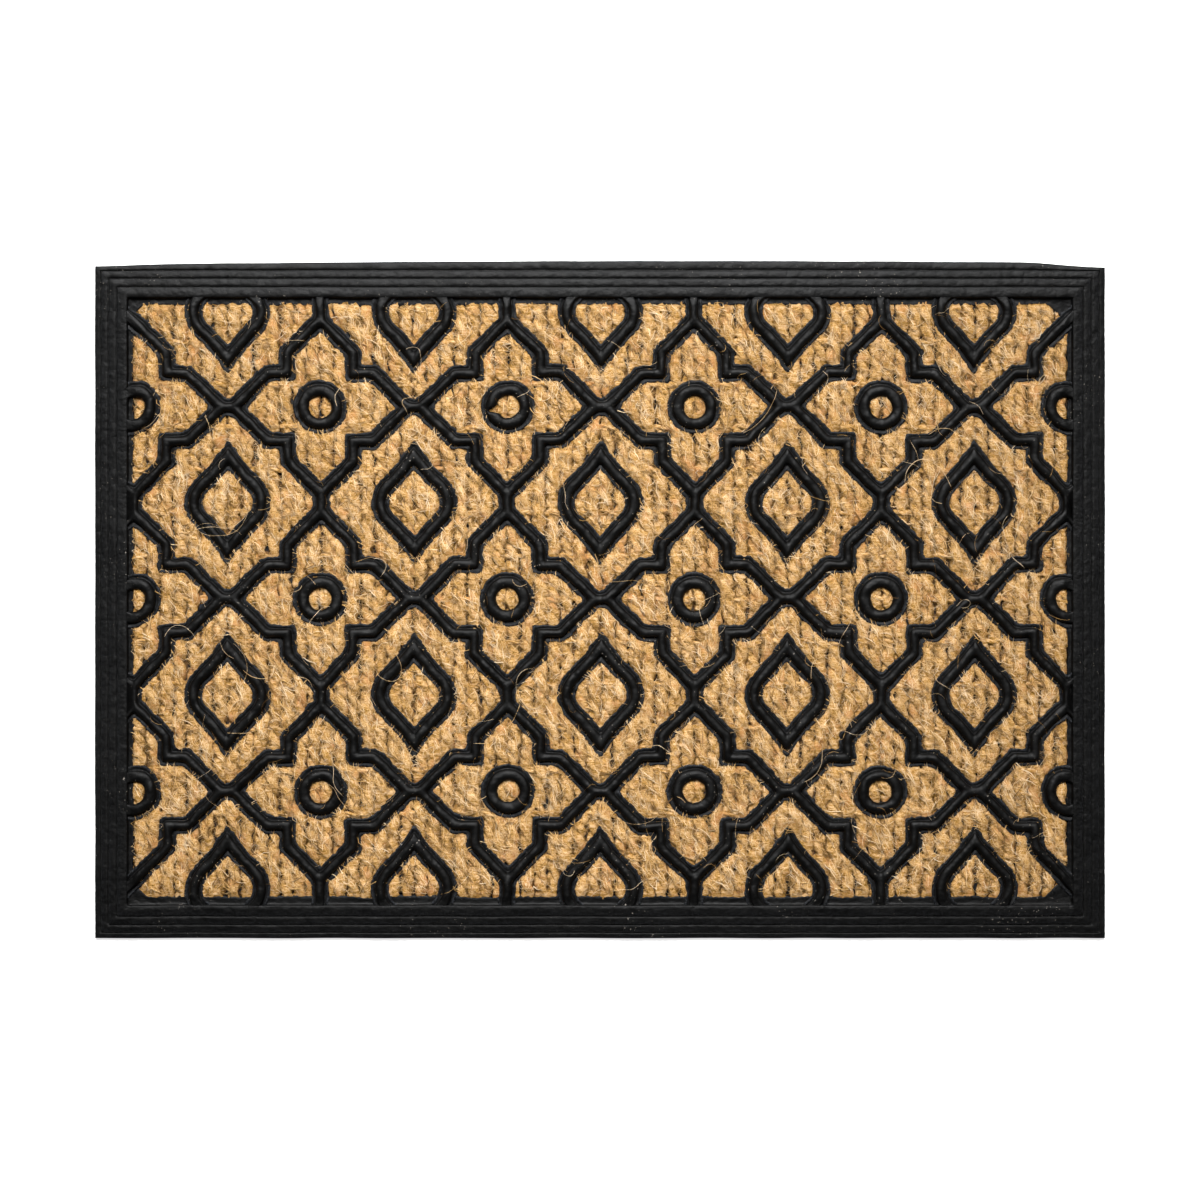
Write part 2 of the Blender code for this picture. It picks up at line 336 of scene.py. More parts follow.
@dataclass(frozen=True)
class CoirFinish(Finish):
    """Twisted coir: streaks along the fibres whose darkest parts are painted shade between them,
    ruddy patches, dull, and painted shade low down.

    The two ranges are heights in metres between which the yarns lose their painted brown shade
    and the rubber that has bled into them.
    """

    roughness: ClassVar[float] = 0.95
    specular: ClassVar[float] = 0.0
    grain: Grain
    shade: tuple[float, float, float] = (0.085, 0.038, 0.006)
    body: tuple[float, float, float] = (0.33, 0.178, 0.046)
    straw: tuple[float, float, float] = (0.54, 0.362, 0.195)
    ruddy: tuple[float, float, float] = (0.34, 0.15, 0.058)
    bled: tuple[float, float, float] = (0.004, 0.004, 0.004)
    shaded_range: tuple[float, float] = (0.0040, 0.0060)
    bled_range: tuple[float, float] = (0.0032, 0.0040)
    stretch: float = 0.16
    streak_scale: float = 2000.0
    strand_scale: float = 620.0
    patch_scale: float = 95.0
    depth: float = 0.0010

    def paint(self, graph: Graph, shader: bpy.types.NodeInputs, position: Value) -> None:
        """Feed the shader."""
        turn = (0.0, 0.0, -math.radians(self.grain.value))
        laid = graph.node("ShaderNodeMapping", None, {
            "Vector": position, "Rotation": turn, "Scale": (self.stretch, 1.0, 1.0)})["Vector"]
        streak = graph.noise(laid, self.streak_scale, 3.0, 0.6)
        strand = graph.noise(laid, self.strand_scale, 2.0, 0.5)
        patch = graph.noise(position, self.patch_scale, 3.0)
        level = streak * 0.6 + strand * 0.4
        # Streak colour; its darkest stop is painted shade between the fibres.
        colour = graph.node("ShaderNodeValToRGB", {"stops": [
            (0.35, self.shade), (0.47, self.body), (0.61, self.straw)]}, {"Fac": level})["Color"]
        mixed = graph.mix(patch.ramp(0.50, 0.72) * 0.6, colour, self.ruddy)
        height = graph.node("ShaderNodeSeparateXYZ", None, {"Vector": position})["Z"]
        # Painted shade: the yarns darken towards their low parts, where shade falls in the crevices.
        mixed = graph.mix((1.0 - height.ramp(*self.shaded_range)) * 0.45, mixed, self.shade)
        mixed = graph.mix((1.0 - height.ramp(*self.bled_range)) * 0.92, mixed, self.bled)
        graph.feed(shader["Base Color"], mixed)
        graph.feed(shader["Normal"], bump(graph, level, 1.0, self.depth))


@dataclass(frozen=True)
class GroundFinish(Finish):
    """Cloth under the yarns: coir painted dark brown as shade in the gaps between the yarns, with
    black rubber that has come up through it.
    """

    name: str = "coir_ground_cloth"
    roughness: ClassVar[float] = 0.8
    specular: ClassVar[float] = 0.2
    rubber: tuple[float, float, float] = (0.006, 0.006, 0.006)
    coir: tuple[float, float, float] = (0.13, 0.065, 0.022)
    patch_scale: float = 210.0
    thread_scale: float = 900.0
    depth: float = 0.0008

    def paint(self, graph: Graph, shader: bpy.types.NodeInputs, position: Value) -> None:
        """Feed the shader."""
        patch = graph.noise(position, self.patch_scale, 3.0).ramp(0.42, 0.60)
        thread = graph.noise(position, self.thread_scale, 2.0)
        # Painted shade: the coir colour is darkened to stand in for shade in the gaps; the black
        # patches are rubber.
        graph.feed(shader["Base Color"], graph.mix(patch, self.rubber, self.coir))
        graph.feed(shader["Roughness"], 0.6 + patch * 0.3)
        graph.feed(shader["Normal"], bump(graph, thread, 1.0, self.depth))


@dataclass(frozen=True)
class FibreFinish(Finish):
    """Single coir fibres, from dark brown to pale straw by the attribute "tint".

    The attribute holds their own tone and painted shade and light by height.
    """

    name: str = "coir_fibre"
    roughness: ClassVar[float] = 0.62
    specular: ClassVar[float] = 0.3
    dark: tuple[float, float, float] = (0.12, 0.058, 0.013)
    tan: tuple[float, float, float] = (0.46, 0.270, 0.086)
    straw: tuple[float, float, float] = (0.64, 0.50, 0.33)
    mottle_scale: float = 420.0
    patch_scale: float = 80.0

    def paint(self, graph: Graph, shader: bpy.types.NodeInputs, position: Value) -> None:
        """Feed the shader."""
        tint = graph.node("ShaderNodeAttribute", {"attribute_name": "tint"})["Fac"]
        mottle = graph.noise(position, self.mottle_scale, 2.0)
        patch = graph.noise(position, self.patch_scale, 3.0)
        level = tint * 0.85 + mottle * 0.25 + patch * 0.45 - 0.275
        colour = graph.node("ShaderNodeValToRGB", {"stops": [
            (0.05, self.dark), (0.45, self.tan), (0.95, self.straw)]}, {"Fac": level})["Color"]
        graph.feed(shader["Base Color"], colour)
        graph.feed(shader["Roughness"], 0.55 + mottle * 0.25)


# ---------------------------------------------------------------------------------------------
# Meshes
# ---------------------------------------------------------------------------------------------

def raw_mesh(name: str, points: np.ndarray, floats: dict[str, np.ndarray],
             edges: np.ndarray | None = None) -> bpy.types.Object:
    """Make an object of loose points or edges, in millimetres, for a node tree to work on.

    Args:
        name: The object's name.
        points: Its corners, one row each.
        floats: Point attributes by name.
        edges: Corner numbers of its edges, one row each.

    Returns:
        The object.
    """
    mesh = bpy.data.meshes.new(name)
    mesh.vertices.add(len(points))
    mesh.vertices.foreach_set("co", points.astype(np.float32).ravel())
    if edges is not None:
        mesh.edges.add(len(edges))
        mesh.edges.foreach_set("vertices", edges.astype(np.int32).ravel())
    for key, numbers in floats.items():
        layer = mesh.attributes.new(key, "FLOAT", "POINT")
        layer.data.foreach_set("value", np.asarray(numbers, dtype=np.float32))
    made = bpy.data.objects.new(name, mesh)
    bpy.context.scene.collection.objects.link(made)
    return made


def mesh_object(name: str, points: np.ndarray, faces: np.ndarray,
                material: bpy.types.Material, edge: np.ndarray | None = None
                ) -> bpy.types.Object:
    """Make a smooth mesh object at the origin.

    Args:
        name: Name of the piece.
        points: Corners in millimetres, one row each.
        faces: Corner numbers of four-sided faces, one row each.
        material: Its material.
        edge: How scuffed each corner is.

    Returns:
        The new object.
    """
    floats = {} if edge is None else {"edge": edge}
    made = raw_mesh(name, points * MM, floats)
    mesh = made.data
    mesh.loops.add(faces.size)
    mesh.loops.foreach_set("vertex_index", faces.astype(np.int32).ravel())
    mesh.polygons.add(len(faces))
    mesh.polygons.foreach_set("loop_start", np.arange(0, faces.size, 4, dtype=np.int32))
    mesh.update(calc_edges=True)
    mesh.shade_smooth()
    mesh.materials.append(material)
    return made


def read_points(piece: bpy.types.Object) -> np.ndarray:
    """Corners of a piece in millimetres, one row each."""
    flat = np.empty(len(piece.data.vertices) * 3, dtype=np.float32)
    piece.data.vertices.foreach_get("co", flat)
    return flat.reshape(-1, 3).astype(float) / MM


def write_points(piece: bpy.types.Object, points: np.ndarray) -> None:
    """Move the corners of a piece to points in millimetres."""
    piece.data.vertices.foreach_set("co", (points * MM).astype(np.float32).ravel())
    piece.data.update()


def read_faces(piece: bpy.types.Object) -> np.ndarray:
    """Corner numbers of a piece's four-sided faces, one row each."""
    flat = np.empty(len(piece.data.loops), dtype=np.int32)
    piece.data.loops.foreach_get("vertex_index", flat)
    return flat.reshape(-1, 4)


def read_floats(piece: bpy.types.Object, key: str) -> np.ndarray:
    """Numbers of a piece's point attribute."""
    numbers = np.empty(len(piece.data.vertices), dtype=np.float32)
    piece.data.attributes[key].data.foreach_get("value", numbers)
    return numbers


def grid_faces(rows: int, columns: int, closed: bool) -> np.ndarray:
    """Faces between rows of points that each close on themselves.

    Args:
        rows: How many rows.
        columns: Points in each.
        closed: Whether the last row meets the first.

    Returns:
        Corner numbers, one face in each row.
    """
    grid = np.arange(rows * columns).reshape(rows, columns)
    upper = grid if closed else grid[:-1]
    lower = np.roll(grid, -1, axis=0)[:len(upper)]
    corners = [upper, np.roll(upper, -1, axis=1), np.roll(lower, -1, axis=1), lower]
    return np.stack(corners, axis=-1).reshape(-1, 4)


def rows_object(name: str, rows: list[np.ndarray], closed: bool,
                material: bpy.types.Material | None, scuffs: list[float]) -> bpy.types.Object:
    """Make a mesh object from rows of points that each close on themselves.

    Args:
        name: Name of the piece.
        rows: Points of each row in millimetres.
        closed: Whether the last row meets the first.
        material: Its material.
        scuffs: How scuffed each row is.

    Returns:
        The new object.
    """
    faces = grid_faces(len(rows), len(rows[0]), closed)
    return mesh_object(name, np.vstack(rows), faces, material, np.repeat(scuffs, len(rows[0])))


def between(corners: np.ndarray, before: np.ndarray, share: np.ndarray) -> np.ndarray:
    """Points on a closed outline.

    Args:
        corners: The outline's corners.
        before: Number of the corner before each point.
        share: Each point's share of the way to the next corner.

    Returns:
        The points.
    """
    return corners[before] * (1 - share) + corners[(before + 1) % len(corners)] * share


def shared_out(lengths: np.ndarray, step: float) -> tuple[np.ndarray, np.ndarray]:
    """Share points out along the sides of a closed outline.

    Args:
        lengths: The sides' lengths.
        step: Distance between points.

    Returns:
        For each point the number of the corner before it and its share of the way on.
    """
    counts = np.maximum(1, np.round(lengths / step)).astype(int)
    share = np.concatenate([np.arange(count) / count for count in counts])
    return np.repeat(np.arange(len(counts)), counts), share[:, None]


def close_up(piece: bpy.types.Object, merge: float) -> None:
    """Merge a piece's doubled corners and fill what is left open.

    Args:
        piece: The piece.
        merge: How near two corners are to be one, in metres.
    """
    shape = bmesh.new()
    shape.from_mesh(piece.data)
    bmesh.ops.remove_doubles(shape, verts=shape.verts, dist=merge)
    bmesh.ops.holes_fill(shape, edges=[edge for edge in shape.edges if edge.is_boundary])
    shape.to_mesh(piece.data)
    shape.free()


def smooth_step(value: np.ndarray) -> np.ndarray:
    """Smooth step from 0 at 0 to 1 at 1."""
    held = np.clip(value, 0.0, 1.0)
    return held * held * (3.0 - 2.0 * held)


def ragged(rng: np.random.Generator, count: int, width: int) -> np.ndarray:
    """Closed line of smoothed random numbers with a spread of 1.

    Args:
        rng: Random source.
        count: How many numbers.
        width: How many neighbours each is averaged over.

    Returns:
        The numbers.
    """
    raw = rng.normal(size=count)
    line = sum(np.roll(raw, shift) for shift in range(-width, width + 1))
    return line / max(line.std(), 1e-9)


def mirrored(quarter: np.ndarray) -> np.ndarray:
    """Complete a counter-clockwise outline from its first quarter."""
    back = quarter[::-1]
    corners = np.vstack([quarter, back * (-1, 1), quarter * (-1, -1), back * (1, -1)])
    apart = np.hypot(*(corners - np.roll(corners, 1, axis=0)).T)
    return corners[apart > 1e-6]


@dataclass(frozen=True)
class Ripple:
    """Smooth wobble made of waves that run in all directions.

    The lengths are those of its shortest and longest wave in millimetres, and size is its
    spread.
    """

    shortest: float
    longest: float
    size: float
    seed: int
    waves: int = 9

    def at(self, x: np.ndarray, y: np.ndarray) -> np.ndarray:
        """Wobble at points."""
        rng = np.random.default_rng(self.seed)
        total = np.zeros(len(x))
        for _ in range(self.waves):
            turn, phase = rng.uniform(0.0, math.tau, 2)
            length = rng.uniform(self.shortest, self.longest)
            run = x * math.cos(turn) + y * math.sin(turn)
            total += np.sin(math.tau * run / length + phase)
        return total * self.size * math.sqrt(2.0 / self.waves)


# ---------------------------------------------------------------------------------------------
# Geometry Nodes trees
# ---------------------------------------------------------------------------------------------

class GrownTree:
    """Geometry Nodes tree that grows a plain mesh from an object of points or edges."""

    def __init__(self, name: str, sizes: dict[str, str]) -> None:
        """Start the tree.

        Args:
            name: The tree's name.
            sizes: Kind of socket of each named input.
        """
        self.tree = bpy.data.node_groups.new(name, "GeometryNodeTree")
        self.graph = Graph(self.tree)
        face = self.tree.interface
        face.new_socket("Geometry", in_out="INPUT", socket_type="NodeSocketGeometry")
        self.keys = {}
        for key, kind in sizes.items():
            self.keys[key] = face.new_socket(key, in_out="INPUT", socket_type=kind).identifier
        face.new_socket("Geometry", in_out="OUTPUT", socket_type="NodeSocketGeometry")
        self.inputs = self.graph.node("NodeGroupInput")

    def field(self, name: str) -> Value:
        """Number that each point carries."""
        return self.graph.node("GeometryNodeInputNamedAttribute", {"data_type": "FLOAT"},
                               {"Name": name})["Attribute"]

    def tube(self, curve: Value, radius: Value, sides: int) -> Value:
        """Turn curves into tubes with a radius along them and a number of sides."""
        ring = self.graph.node("GeometryNodeCurvePrimitiveCircle", None,
                               {"Resolution": sides, "Radius": 1.0})["Curve"]
        inputs = {"Curve": curve, "Profile Curve": ring, "Scale": radius, "Fill Caps": True}
        return self.graph.node("GeometryNodeCurveToMesh", None, inputs)["Mesh"]

    def finish(self, geometry: Value, material: bpy.types.Material) -> None:
        """End the tree with smooth shading, real geometry and the material."""
        graph = self.graph
        smooth = graph.node("GeometryNodeSetShadeSmooth", None, {"Geometry": geometry})["Geometry"]
        real = graph.node("GeometryNodeRealizeInstances", None, {"Geometry": smooth})["Geometry"]
        dressed = graph.node("GeometryNodeSetMaterial", None,
                             {"Geometry": real, "Material": material})["Geometry"]
        graph.node("NodeGroupOutput", None, {"Geometry": dressed})

    def grow(self, name: str, holder: bpy.types.Object, sizes: dict[str, object]
             ) -> bpy.types.Object:
        """Run the tree on an object of points or edges and keep the plain result.

        Args:
            name: Name of the piece.
            holder: The object, in millimetres, which is used up.
            sizes: The tree's inputs by name.

        Returns:
            The piece, in metres.
        """
        modifier = holder.modifiers.new(name, "NODES")
        modifier.node_group = self.tree
        for key, size in sizes.items():
            modifier[self.keys[key]] = size
        ready = holder.evaluated_get(bpy.context.evaluated_depsgraph_get())
        grown = bpy.data.meshes.new_from_object(ready)
        bpy.data.objects.remove(holder)
        grown.name = name
        made = bpy.data.objects.new(name, grown)
        bpy.context.scene.collection.objects.link(made)
        write_points(made, read_points(made) * MM)
        return made


class StampTree(GrownTree):
    """Puts a copy of one shape on every point, turned by the point's "spin"."""

    def __init__(self, name: str, material: bpy.types.Material) -> None:
        """Build the tree."""
        super().__init__(name, {"Shape": "NodeSocketObject"})
        graph = self.graph
        shape = graph.node("GeometryNodeObjectInfo", None, {"Object": self.inputs["Shape"]})
        points = graph.node("GeometryNodeMeshToPoints", None, {"Mesh": self.inputs["Geometry"]})
        euler = graph.node("ShaderNodeCombineXYZ", None, {"Z": self.field("spin")})["Vector"]
        turn = graph.node("FunctionNodeEulerToRotation", None, {"Euler": euler})["Rotation"]
        laid = graph.node("GeometryNodeInstanceOnPoints", None, {
            "Points": points["Points"], "Instance": shape["Geometry"], "Rotation": turn})
        self.finish(laid["Instances"], material)

    def stamp(self, name: str, shape: bpy.types.Object, places: np.ndarray, spin: np.ndarray
              ) -> bpy.types.Object:
        """Copy a shape to places.

        Args:
            name: Name of the piece.
            shape: The shape, in millimetres, which is used up.
            places: Where the copies go, in millimetres.
            spin: How far each is turned, in radians.

        Returns:
            The piece.
        """
        holder = raw_mesh(name + "_places", places, {"spin": spin})
        made = self.grow(name, holder, {"Shape": shape})
        bpy.data.objects.remove(shape)
        return made


class FibreTree(GrownTree):
    """Turns chains of edges into thin tubes whose radius is the chain's "width"."""

    SIDES = 3
    END_WIDTH = 0.55

    def __init__(self, name: str, material: bpy.types.Material) -> None:
        """Build the tree."""
        super().__init__(name, {})
        curve = self.graph.node("GeometryNodeMeshToCurve", None, {
            "Mesh": self.inputs["Geometry"]})["Curve"]
        self.finish(self.tube(curve, self.field("width"), self.SIDES), material)

    def spin(self, name: str, chains: np.ndarray, width: np.ndarray, tint: np.ndarray
             ) -> bpy.types.Object:
        """Make fibres.

        Args:
            name: Name of the piece.
            chains: Points of each fibre in millimetres, (fibres, points, 3).
            width: Radius of each fibre.
            tint: Shade of each fibre, from 0 to 1.

        Returns:
            The piece.
        """
        count, steps = chains.shape[:2]
        index = np.arange(count * steps).reshape(count, steps)
        edges = np.stack([index[:, :-1], index[:, 1:]], axis=-1).reshape(-1, 2)
        taper = np.ones(steps)
        taper[0] = taper[-1] = self.END_WIDTH
        floats = {"width": (width[:, None] * taper).ravel(), "tint": np.repeat(tint, steps)}
        holder = raw_mesh(name + "_chains", chains.reshape(-1, 3), floats, edges)
        made = self.grow(name, holder, {})
        made.data.attributes.remove(made.data.attributes["width"])
        return made


class PlyTree(GrownTree):
    """Twists the plies of yarns that go over and under the yarns across them.

    Each point of the input carries one ply: "lane" (the yarn's own coordinate), "start" and
    "length" along it, "ply" (angle of the ply round the yarn), "offset" (where the yarn is
    highest) and "width" (the ply's radius). Heights come out before the yarns are flattened.
    The runs are lengths in millimetres along a yarn over which it sways and swells.
    """

    SIZES = ("Half Wave", "Wave", "Twist", "Helix Radius", "Middle", "Wander")
    SWAY_RUN = 34.0
    SWELL_RUN = 15.0
    SWELL = 1.3
    DRIFT = 9.0

    def __init__(self, name: str, along_x: bool, rings: int, sides: int,
                 material: bpy.types.Material) -> None:
        """Build the tree.

        Args:
            name: The tree's name.
            along_x: Whether the yarns run along X and not along Y.
            rings: Points along each ply.
            sides: Sides of its section.
            material: Its material.
        """
        super().__init__(name, dict.fromkeys(self.SIZES, "NodeSocketFloat"))
        graph = self.graph
        line = graph.node("GeometryNodeCurvePrimitiveLine")["Curve"]
        line = graph.node("GeometryNodeResampleCurve", None,
                          {"Curve": line, "Count": rings})["Curve"]
        points = graph.node("GeometryNodeMeshToPoints", None, {"Mesh": self.inputs["Geometry"]})
        laid = graph.node("GeometryNodeInstanceOnPoints", None, {
            "Points": points["Points"], "Instance": line})["Instances"]
        plies = graph.node("GeometryNodeRealizeInstances", None, {"Geometry": laid})["Geometry"]
        place, swell = self._place(along_x)
        moved = graph.node("GeometryNodeSetPosition", None,
                           {"Geometry": plies, "Position": place})["Geometry"]
        tangent = graph.node("GeometryNodeInputTangent")["Tangent"]
        marked = graph.node("GeometryNodeStoreNamedAttribute", {"data_type": "FLOAT_VECTOR"}, {
            "Geometry": moved, "Name": "heading", "Value": tangent})["Geometry"]
        width = self.field("width") * (1.0 + swell * self.SWELL)
        self.finish(self.tube(marked, width, sides), material)

    def _place(self, along_x: bool) -> tuple[Value, Value]:
        """Position of a ply's points, and how much it swells there.

        Args:
            along_x: Whether the yarns run along X.

        Returns:
            The position as a vector and the swell around 0.
        """
        graph, sizes = self.graph, self.inputs
        part = graph.node("GeometryNodeSplineParameter")["Factor"]
        lane = self.field("lane")
        run = self.field("start") + part * self.field("length")
        ply = self.field("ply")
        spot = graph.node("ShaderNodeCombineXYZ", None,
                          {"X": lane * 0.71, "Y": run / self.SWAY_RUN, "Z": 3.7})["Vector"]
        other = graph.node("ShaderNodeCombineXYZ", None,
                           {"X": lane * 0.53, "Y": run / self.SWELL_RUN, "Z": ply * 1.9})["Vector"]
        sway = graph.noise(spot, 1.0, 2.0) - 0.5
        drift = graph.noise(spot, 0.45, 0.0) - 0.5
        swell = graph.noise(other, 1.0, 1.0) - 0.5
        crossing = math.pi * (run - self.field("offset")) / sizes["Half Wave"]
        phase = math.tau * (run / sizes["Twist"]) + ply + lane * 2.37 + drift * self.DRIFT
        across = lane + sway * sizes["Wander"] + phase.cosine() * sizes["Helix Radius"]
        level = (sizes["Middle"] + crossing.cosine() * sizes["Wave"]
                 + phase.sine() * sizes["Helix Radius"])
        near, far = (run, across) if along_x else (across, run)
        place = graph.node("ShaderNodeCombineXYZ", None, {"X": near, "Y": far, "Z": level})
        return place["Vector"], swell


# ---------------------------------------------------------------------------------------------
# Layout
# ---------------------------------------------------------------------------------------------

@dataclass(frozen=True)
class Tear:
    """Wedge that is torn out of one ring's bead, in millimetres."""

    place: tuple[float, float]
    heading: float = math.radians(193.0)
    tip: float = 13.6
    root: float = 5.0
    half_width: float = 3.6

    def room(self, x: np.ndarray, y: np.ndarray) -> np.ndarray:
        """How far points lie inside the wedge; negative outside."""
        east, north = x - self.place[0], y - self.place[1]
        run = east * math.cos(self.heading) + north * math.sin(self.heading)
        aside = np.abs(north * math.cos(self.heading) - east * math.sin(self.heading))
        half = self.half_width * (self.tip - run) / (self.tip - self.root)
        return np.minimum(half - aside, run - self.root * 0.5)


@dataclass(frozen=True)
class Layout:
    """Places and heights of the pattern, in millimetres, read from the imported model.

    The fields with a value repeat the lattice's and the drop's own sizes.
    """

    half_x: float
    half_y: float
    window_x: float
    window_y: float
    coir_low: tuple[float, float]
    coir_high: tuple[float, float]
    pitch_x: float
    pitch_y: float
    backing_top: float
    rib_floor: float
    coir_top: float
    bead_top: float
    land_top: float
    tear: Tear
    step_x: float = 19.5
    step_y: float = 20.2
    step_run: float = 12.1
    neck_x: float = 3.6
    neck_y: float = 5.25
    flange_top: float = 5.5
    lattice_half: float = 5.2
    drop_half: float = 5.35
    ring_inner: float = 6.6
    ring_outer: float = 16.2
    drop_half_width: float = 20.15
    drop_half_length: float = 28.4
    shoulder_radius: float = 14.0
    tip_half_angle: float = math.radians(36.0)
    seat_gap: float = 0.3
    corner_cut: float = 443.0
    corner_lean: float = 0.009

    @classmethod
    def from_frame(cls) -> "Layout":
        """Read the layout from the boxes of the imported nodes.

        Returns:
            The layout.
        """
        def box(node: str) -> np.ndarray:
            """Lowest and highest corner of a node, in millimetres."""
            return np.array(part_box(node)) / MM

        backing, border, lattice, coir = map(box, ("backing_sheet", "border_frame", "lattice",
                                                   "coir_mat"))
        left, right, above = (box(node).mean(axis=0) for node in ("ring_2_3", "ring_2_4",
                                                                  "ring_3_3"))
        return cls(
            half_x=backing[1][0], half_y=backing[1][1],
            window_x=lattice[1][0] + cls.seat_gap, window_y=lattice[1][1] + cls.seat_gap,
            coir_low=tuple(coir[0][:2]), coir_high=tuple(coir[1][:2]),
            pitch_x=right[0] - left[0], pitch_y=above[1] - left[1],
            backing_top=backing[1][2], rib_floor=lattice[0][2], coir_top=coir[1][2],
            bead_top=lattice[1][2], land_top=border[1][2],
            tear=Tear((above[0], above[1])),
        )

    @property
    def seat(self) -> float:
        """Height that the border and the coir rest at."""
        return self.backing_top + self.seat_gap

    def drop_arcs(self) -> tuple[float, float, np.ndarray, float]:
        """Arcs of a drop's centre line: shoulder centre, flank radius and centre, touch angle."""
        shoulder = self.drop_half_width - self.shoulder_radius
        lean = np.array([math.cos(self.tip_half_angle), math.sin(self.tip_half_angle)])
        reach = np.array([-shoulder, self.drop_half_length])
        flank = (reach @ reach - self.shoulder_radius ** 2)
        flank /= 2 * (self.shoulder_radius - reach @ lean)
        centre = np.array([0.0, self.drop_half_length]) + lean * flank
        touch = math.atan2(centre[1], centre[0] - shoulder)
        return shoulder, flank, centre, touch

    def ring_cell(self) -> np.ndarray:
        """Corners of the lattice's centre line round a ring, from +X to +Y."""
        return np.array([
            (self.pitch_x / 2 - self.neck_x, 0.0),
            (self.step_x + self.step_run, self.step_y),
            (self.step_x, self.step_y),
            (self.step_x, self.step_y + self.step_run),
            (0.0, self.pitch_y / 2 - self.neck_y),
        ])

    def clearance(self, x: np.ndarray, y: np.ndarray) -> np.ndarray:
        """How far points lie outside the nearest flange; negative on the rubber.

        Args:
            x: First coordinates.
            y: Second coordinates.

        Returns:
            The distances, with every flange corner taken as sharp.
        """
        across = np.abs(np.mod(x / self.pitch_x, 1.0) - 0.5) * self.pitch_x
        along = np.abs(y / self.pitch_y - np.round(y / self.pitch_y)) * self.pitch_y
        corners = self.ring_cell()

        def inside(first: int) -> np.ndarray:
            """Distance from one edge of the ring's cell, positive towards the ring."""
            start, end = corners[first], corners[first + 1]
            run = (end - start) / np.hypot(*(end - start))
            return run[0] * (along - start[1]) - run[1] * (across - start[0])

        low, flat, upright, high = (inside(i) for i in range(4))
        ring_side = np.minimum(np.minimum(low, high), np.maximum(flat, upright))
        drop_side = np.minimum(np.maximum(-low, -flat), np.maximum(-upright, -high))
        drop_side = np.minimum(drop_side, np.minimum(across, along))
        lattice = np.maximum(ring_side, drop_side) - self.lattice_half
        mean = (self.ring_outer + self.ring_inner) / 2
        ring = np.abs(np.hypot(across, along) - mean) - (self.ring_outer - mean)
        ring = np.maximum(ring, self.tear.room(x, y))
        drop = np.abs(self.drop_offset(across, along)) - self.drop_half
        return np.minimum(np.minimum(lattice, ring), drop)

    def drop_offset(self, across: np.ndarray, along: np.ndarray) -> np.ndarray:
        """Signed distance from a drop's centre line for folded coordinates."""
        shoulder, flank, centre, touch = self.drop_arcs()
        x = self.pitch_x / 2 - across
        y = self.pitch_y / 2 - along
        round_part = np.hypot(x - shoulder, y) - self.shoulder_radius
        flank_part = flank - np.hypot(x - centre[0], y - centre[1])
        return np.where(np.arctan2(y, x - shoulder) < touch, round_part, flank_part)

    def edge_room(self, x: np.ndarray, y: np.ndarray) -> np.ndarray:
        """How far points lie inside the coir's own outline, whose corners are cut off."""
        sides = np.minimum(x - self.coir_low[0], self.coir_high[0] - x)
        ends = np.minimum(y - self.coir_low[1], self.coir_high[1] - y)
        corner = -self.corner_excess(x, y) / math.sqrt(2.0)
        return np.minimum(np.minimum(sides, ends), corner)

    def corner_excess(self, x: np.ndarray, y: np.ndarray) -> np.ndarray:
        """How far points lie beyond the lines that cut off the coir's corners."""
        return np.abs(x) + np.abs(y) - self.corner_cut - self.corner_lean * (y - x)

    def ring_places(self) -> np.ndarray:
        """Centres of all whole and half rings."""
        columns = (np.arange(6) - 2.5) * self.pitch_x
        rows = (np.arange(3) - 1.0) * self.pitch_y
        return np.array([(x, y) for y in rows for x in columns])

    def drop_places(self) -> np.ndarray:
        """Centres of all whole and half drops."""
        columns = (np.arange(5) - 2.0) * self.pitch_x
        rows = (np.arange(4) - 1.5) * self.pitch_y
        return np.array([(x, y) for y in rows for x in columns])


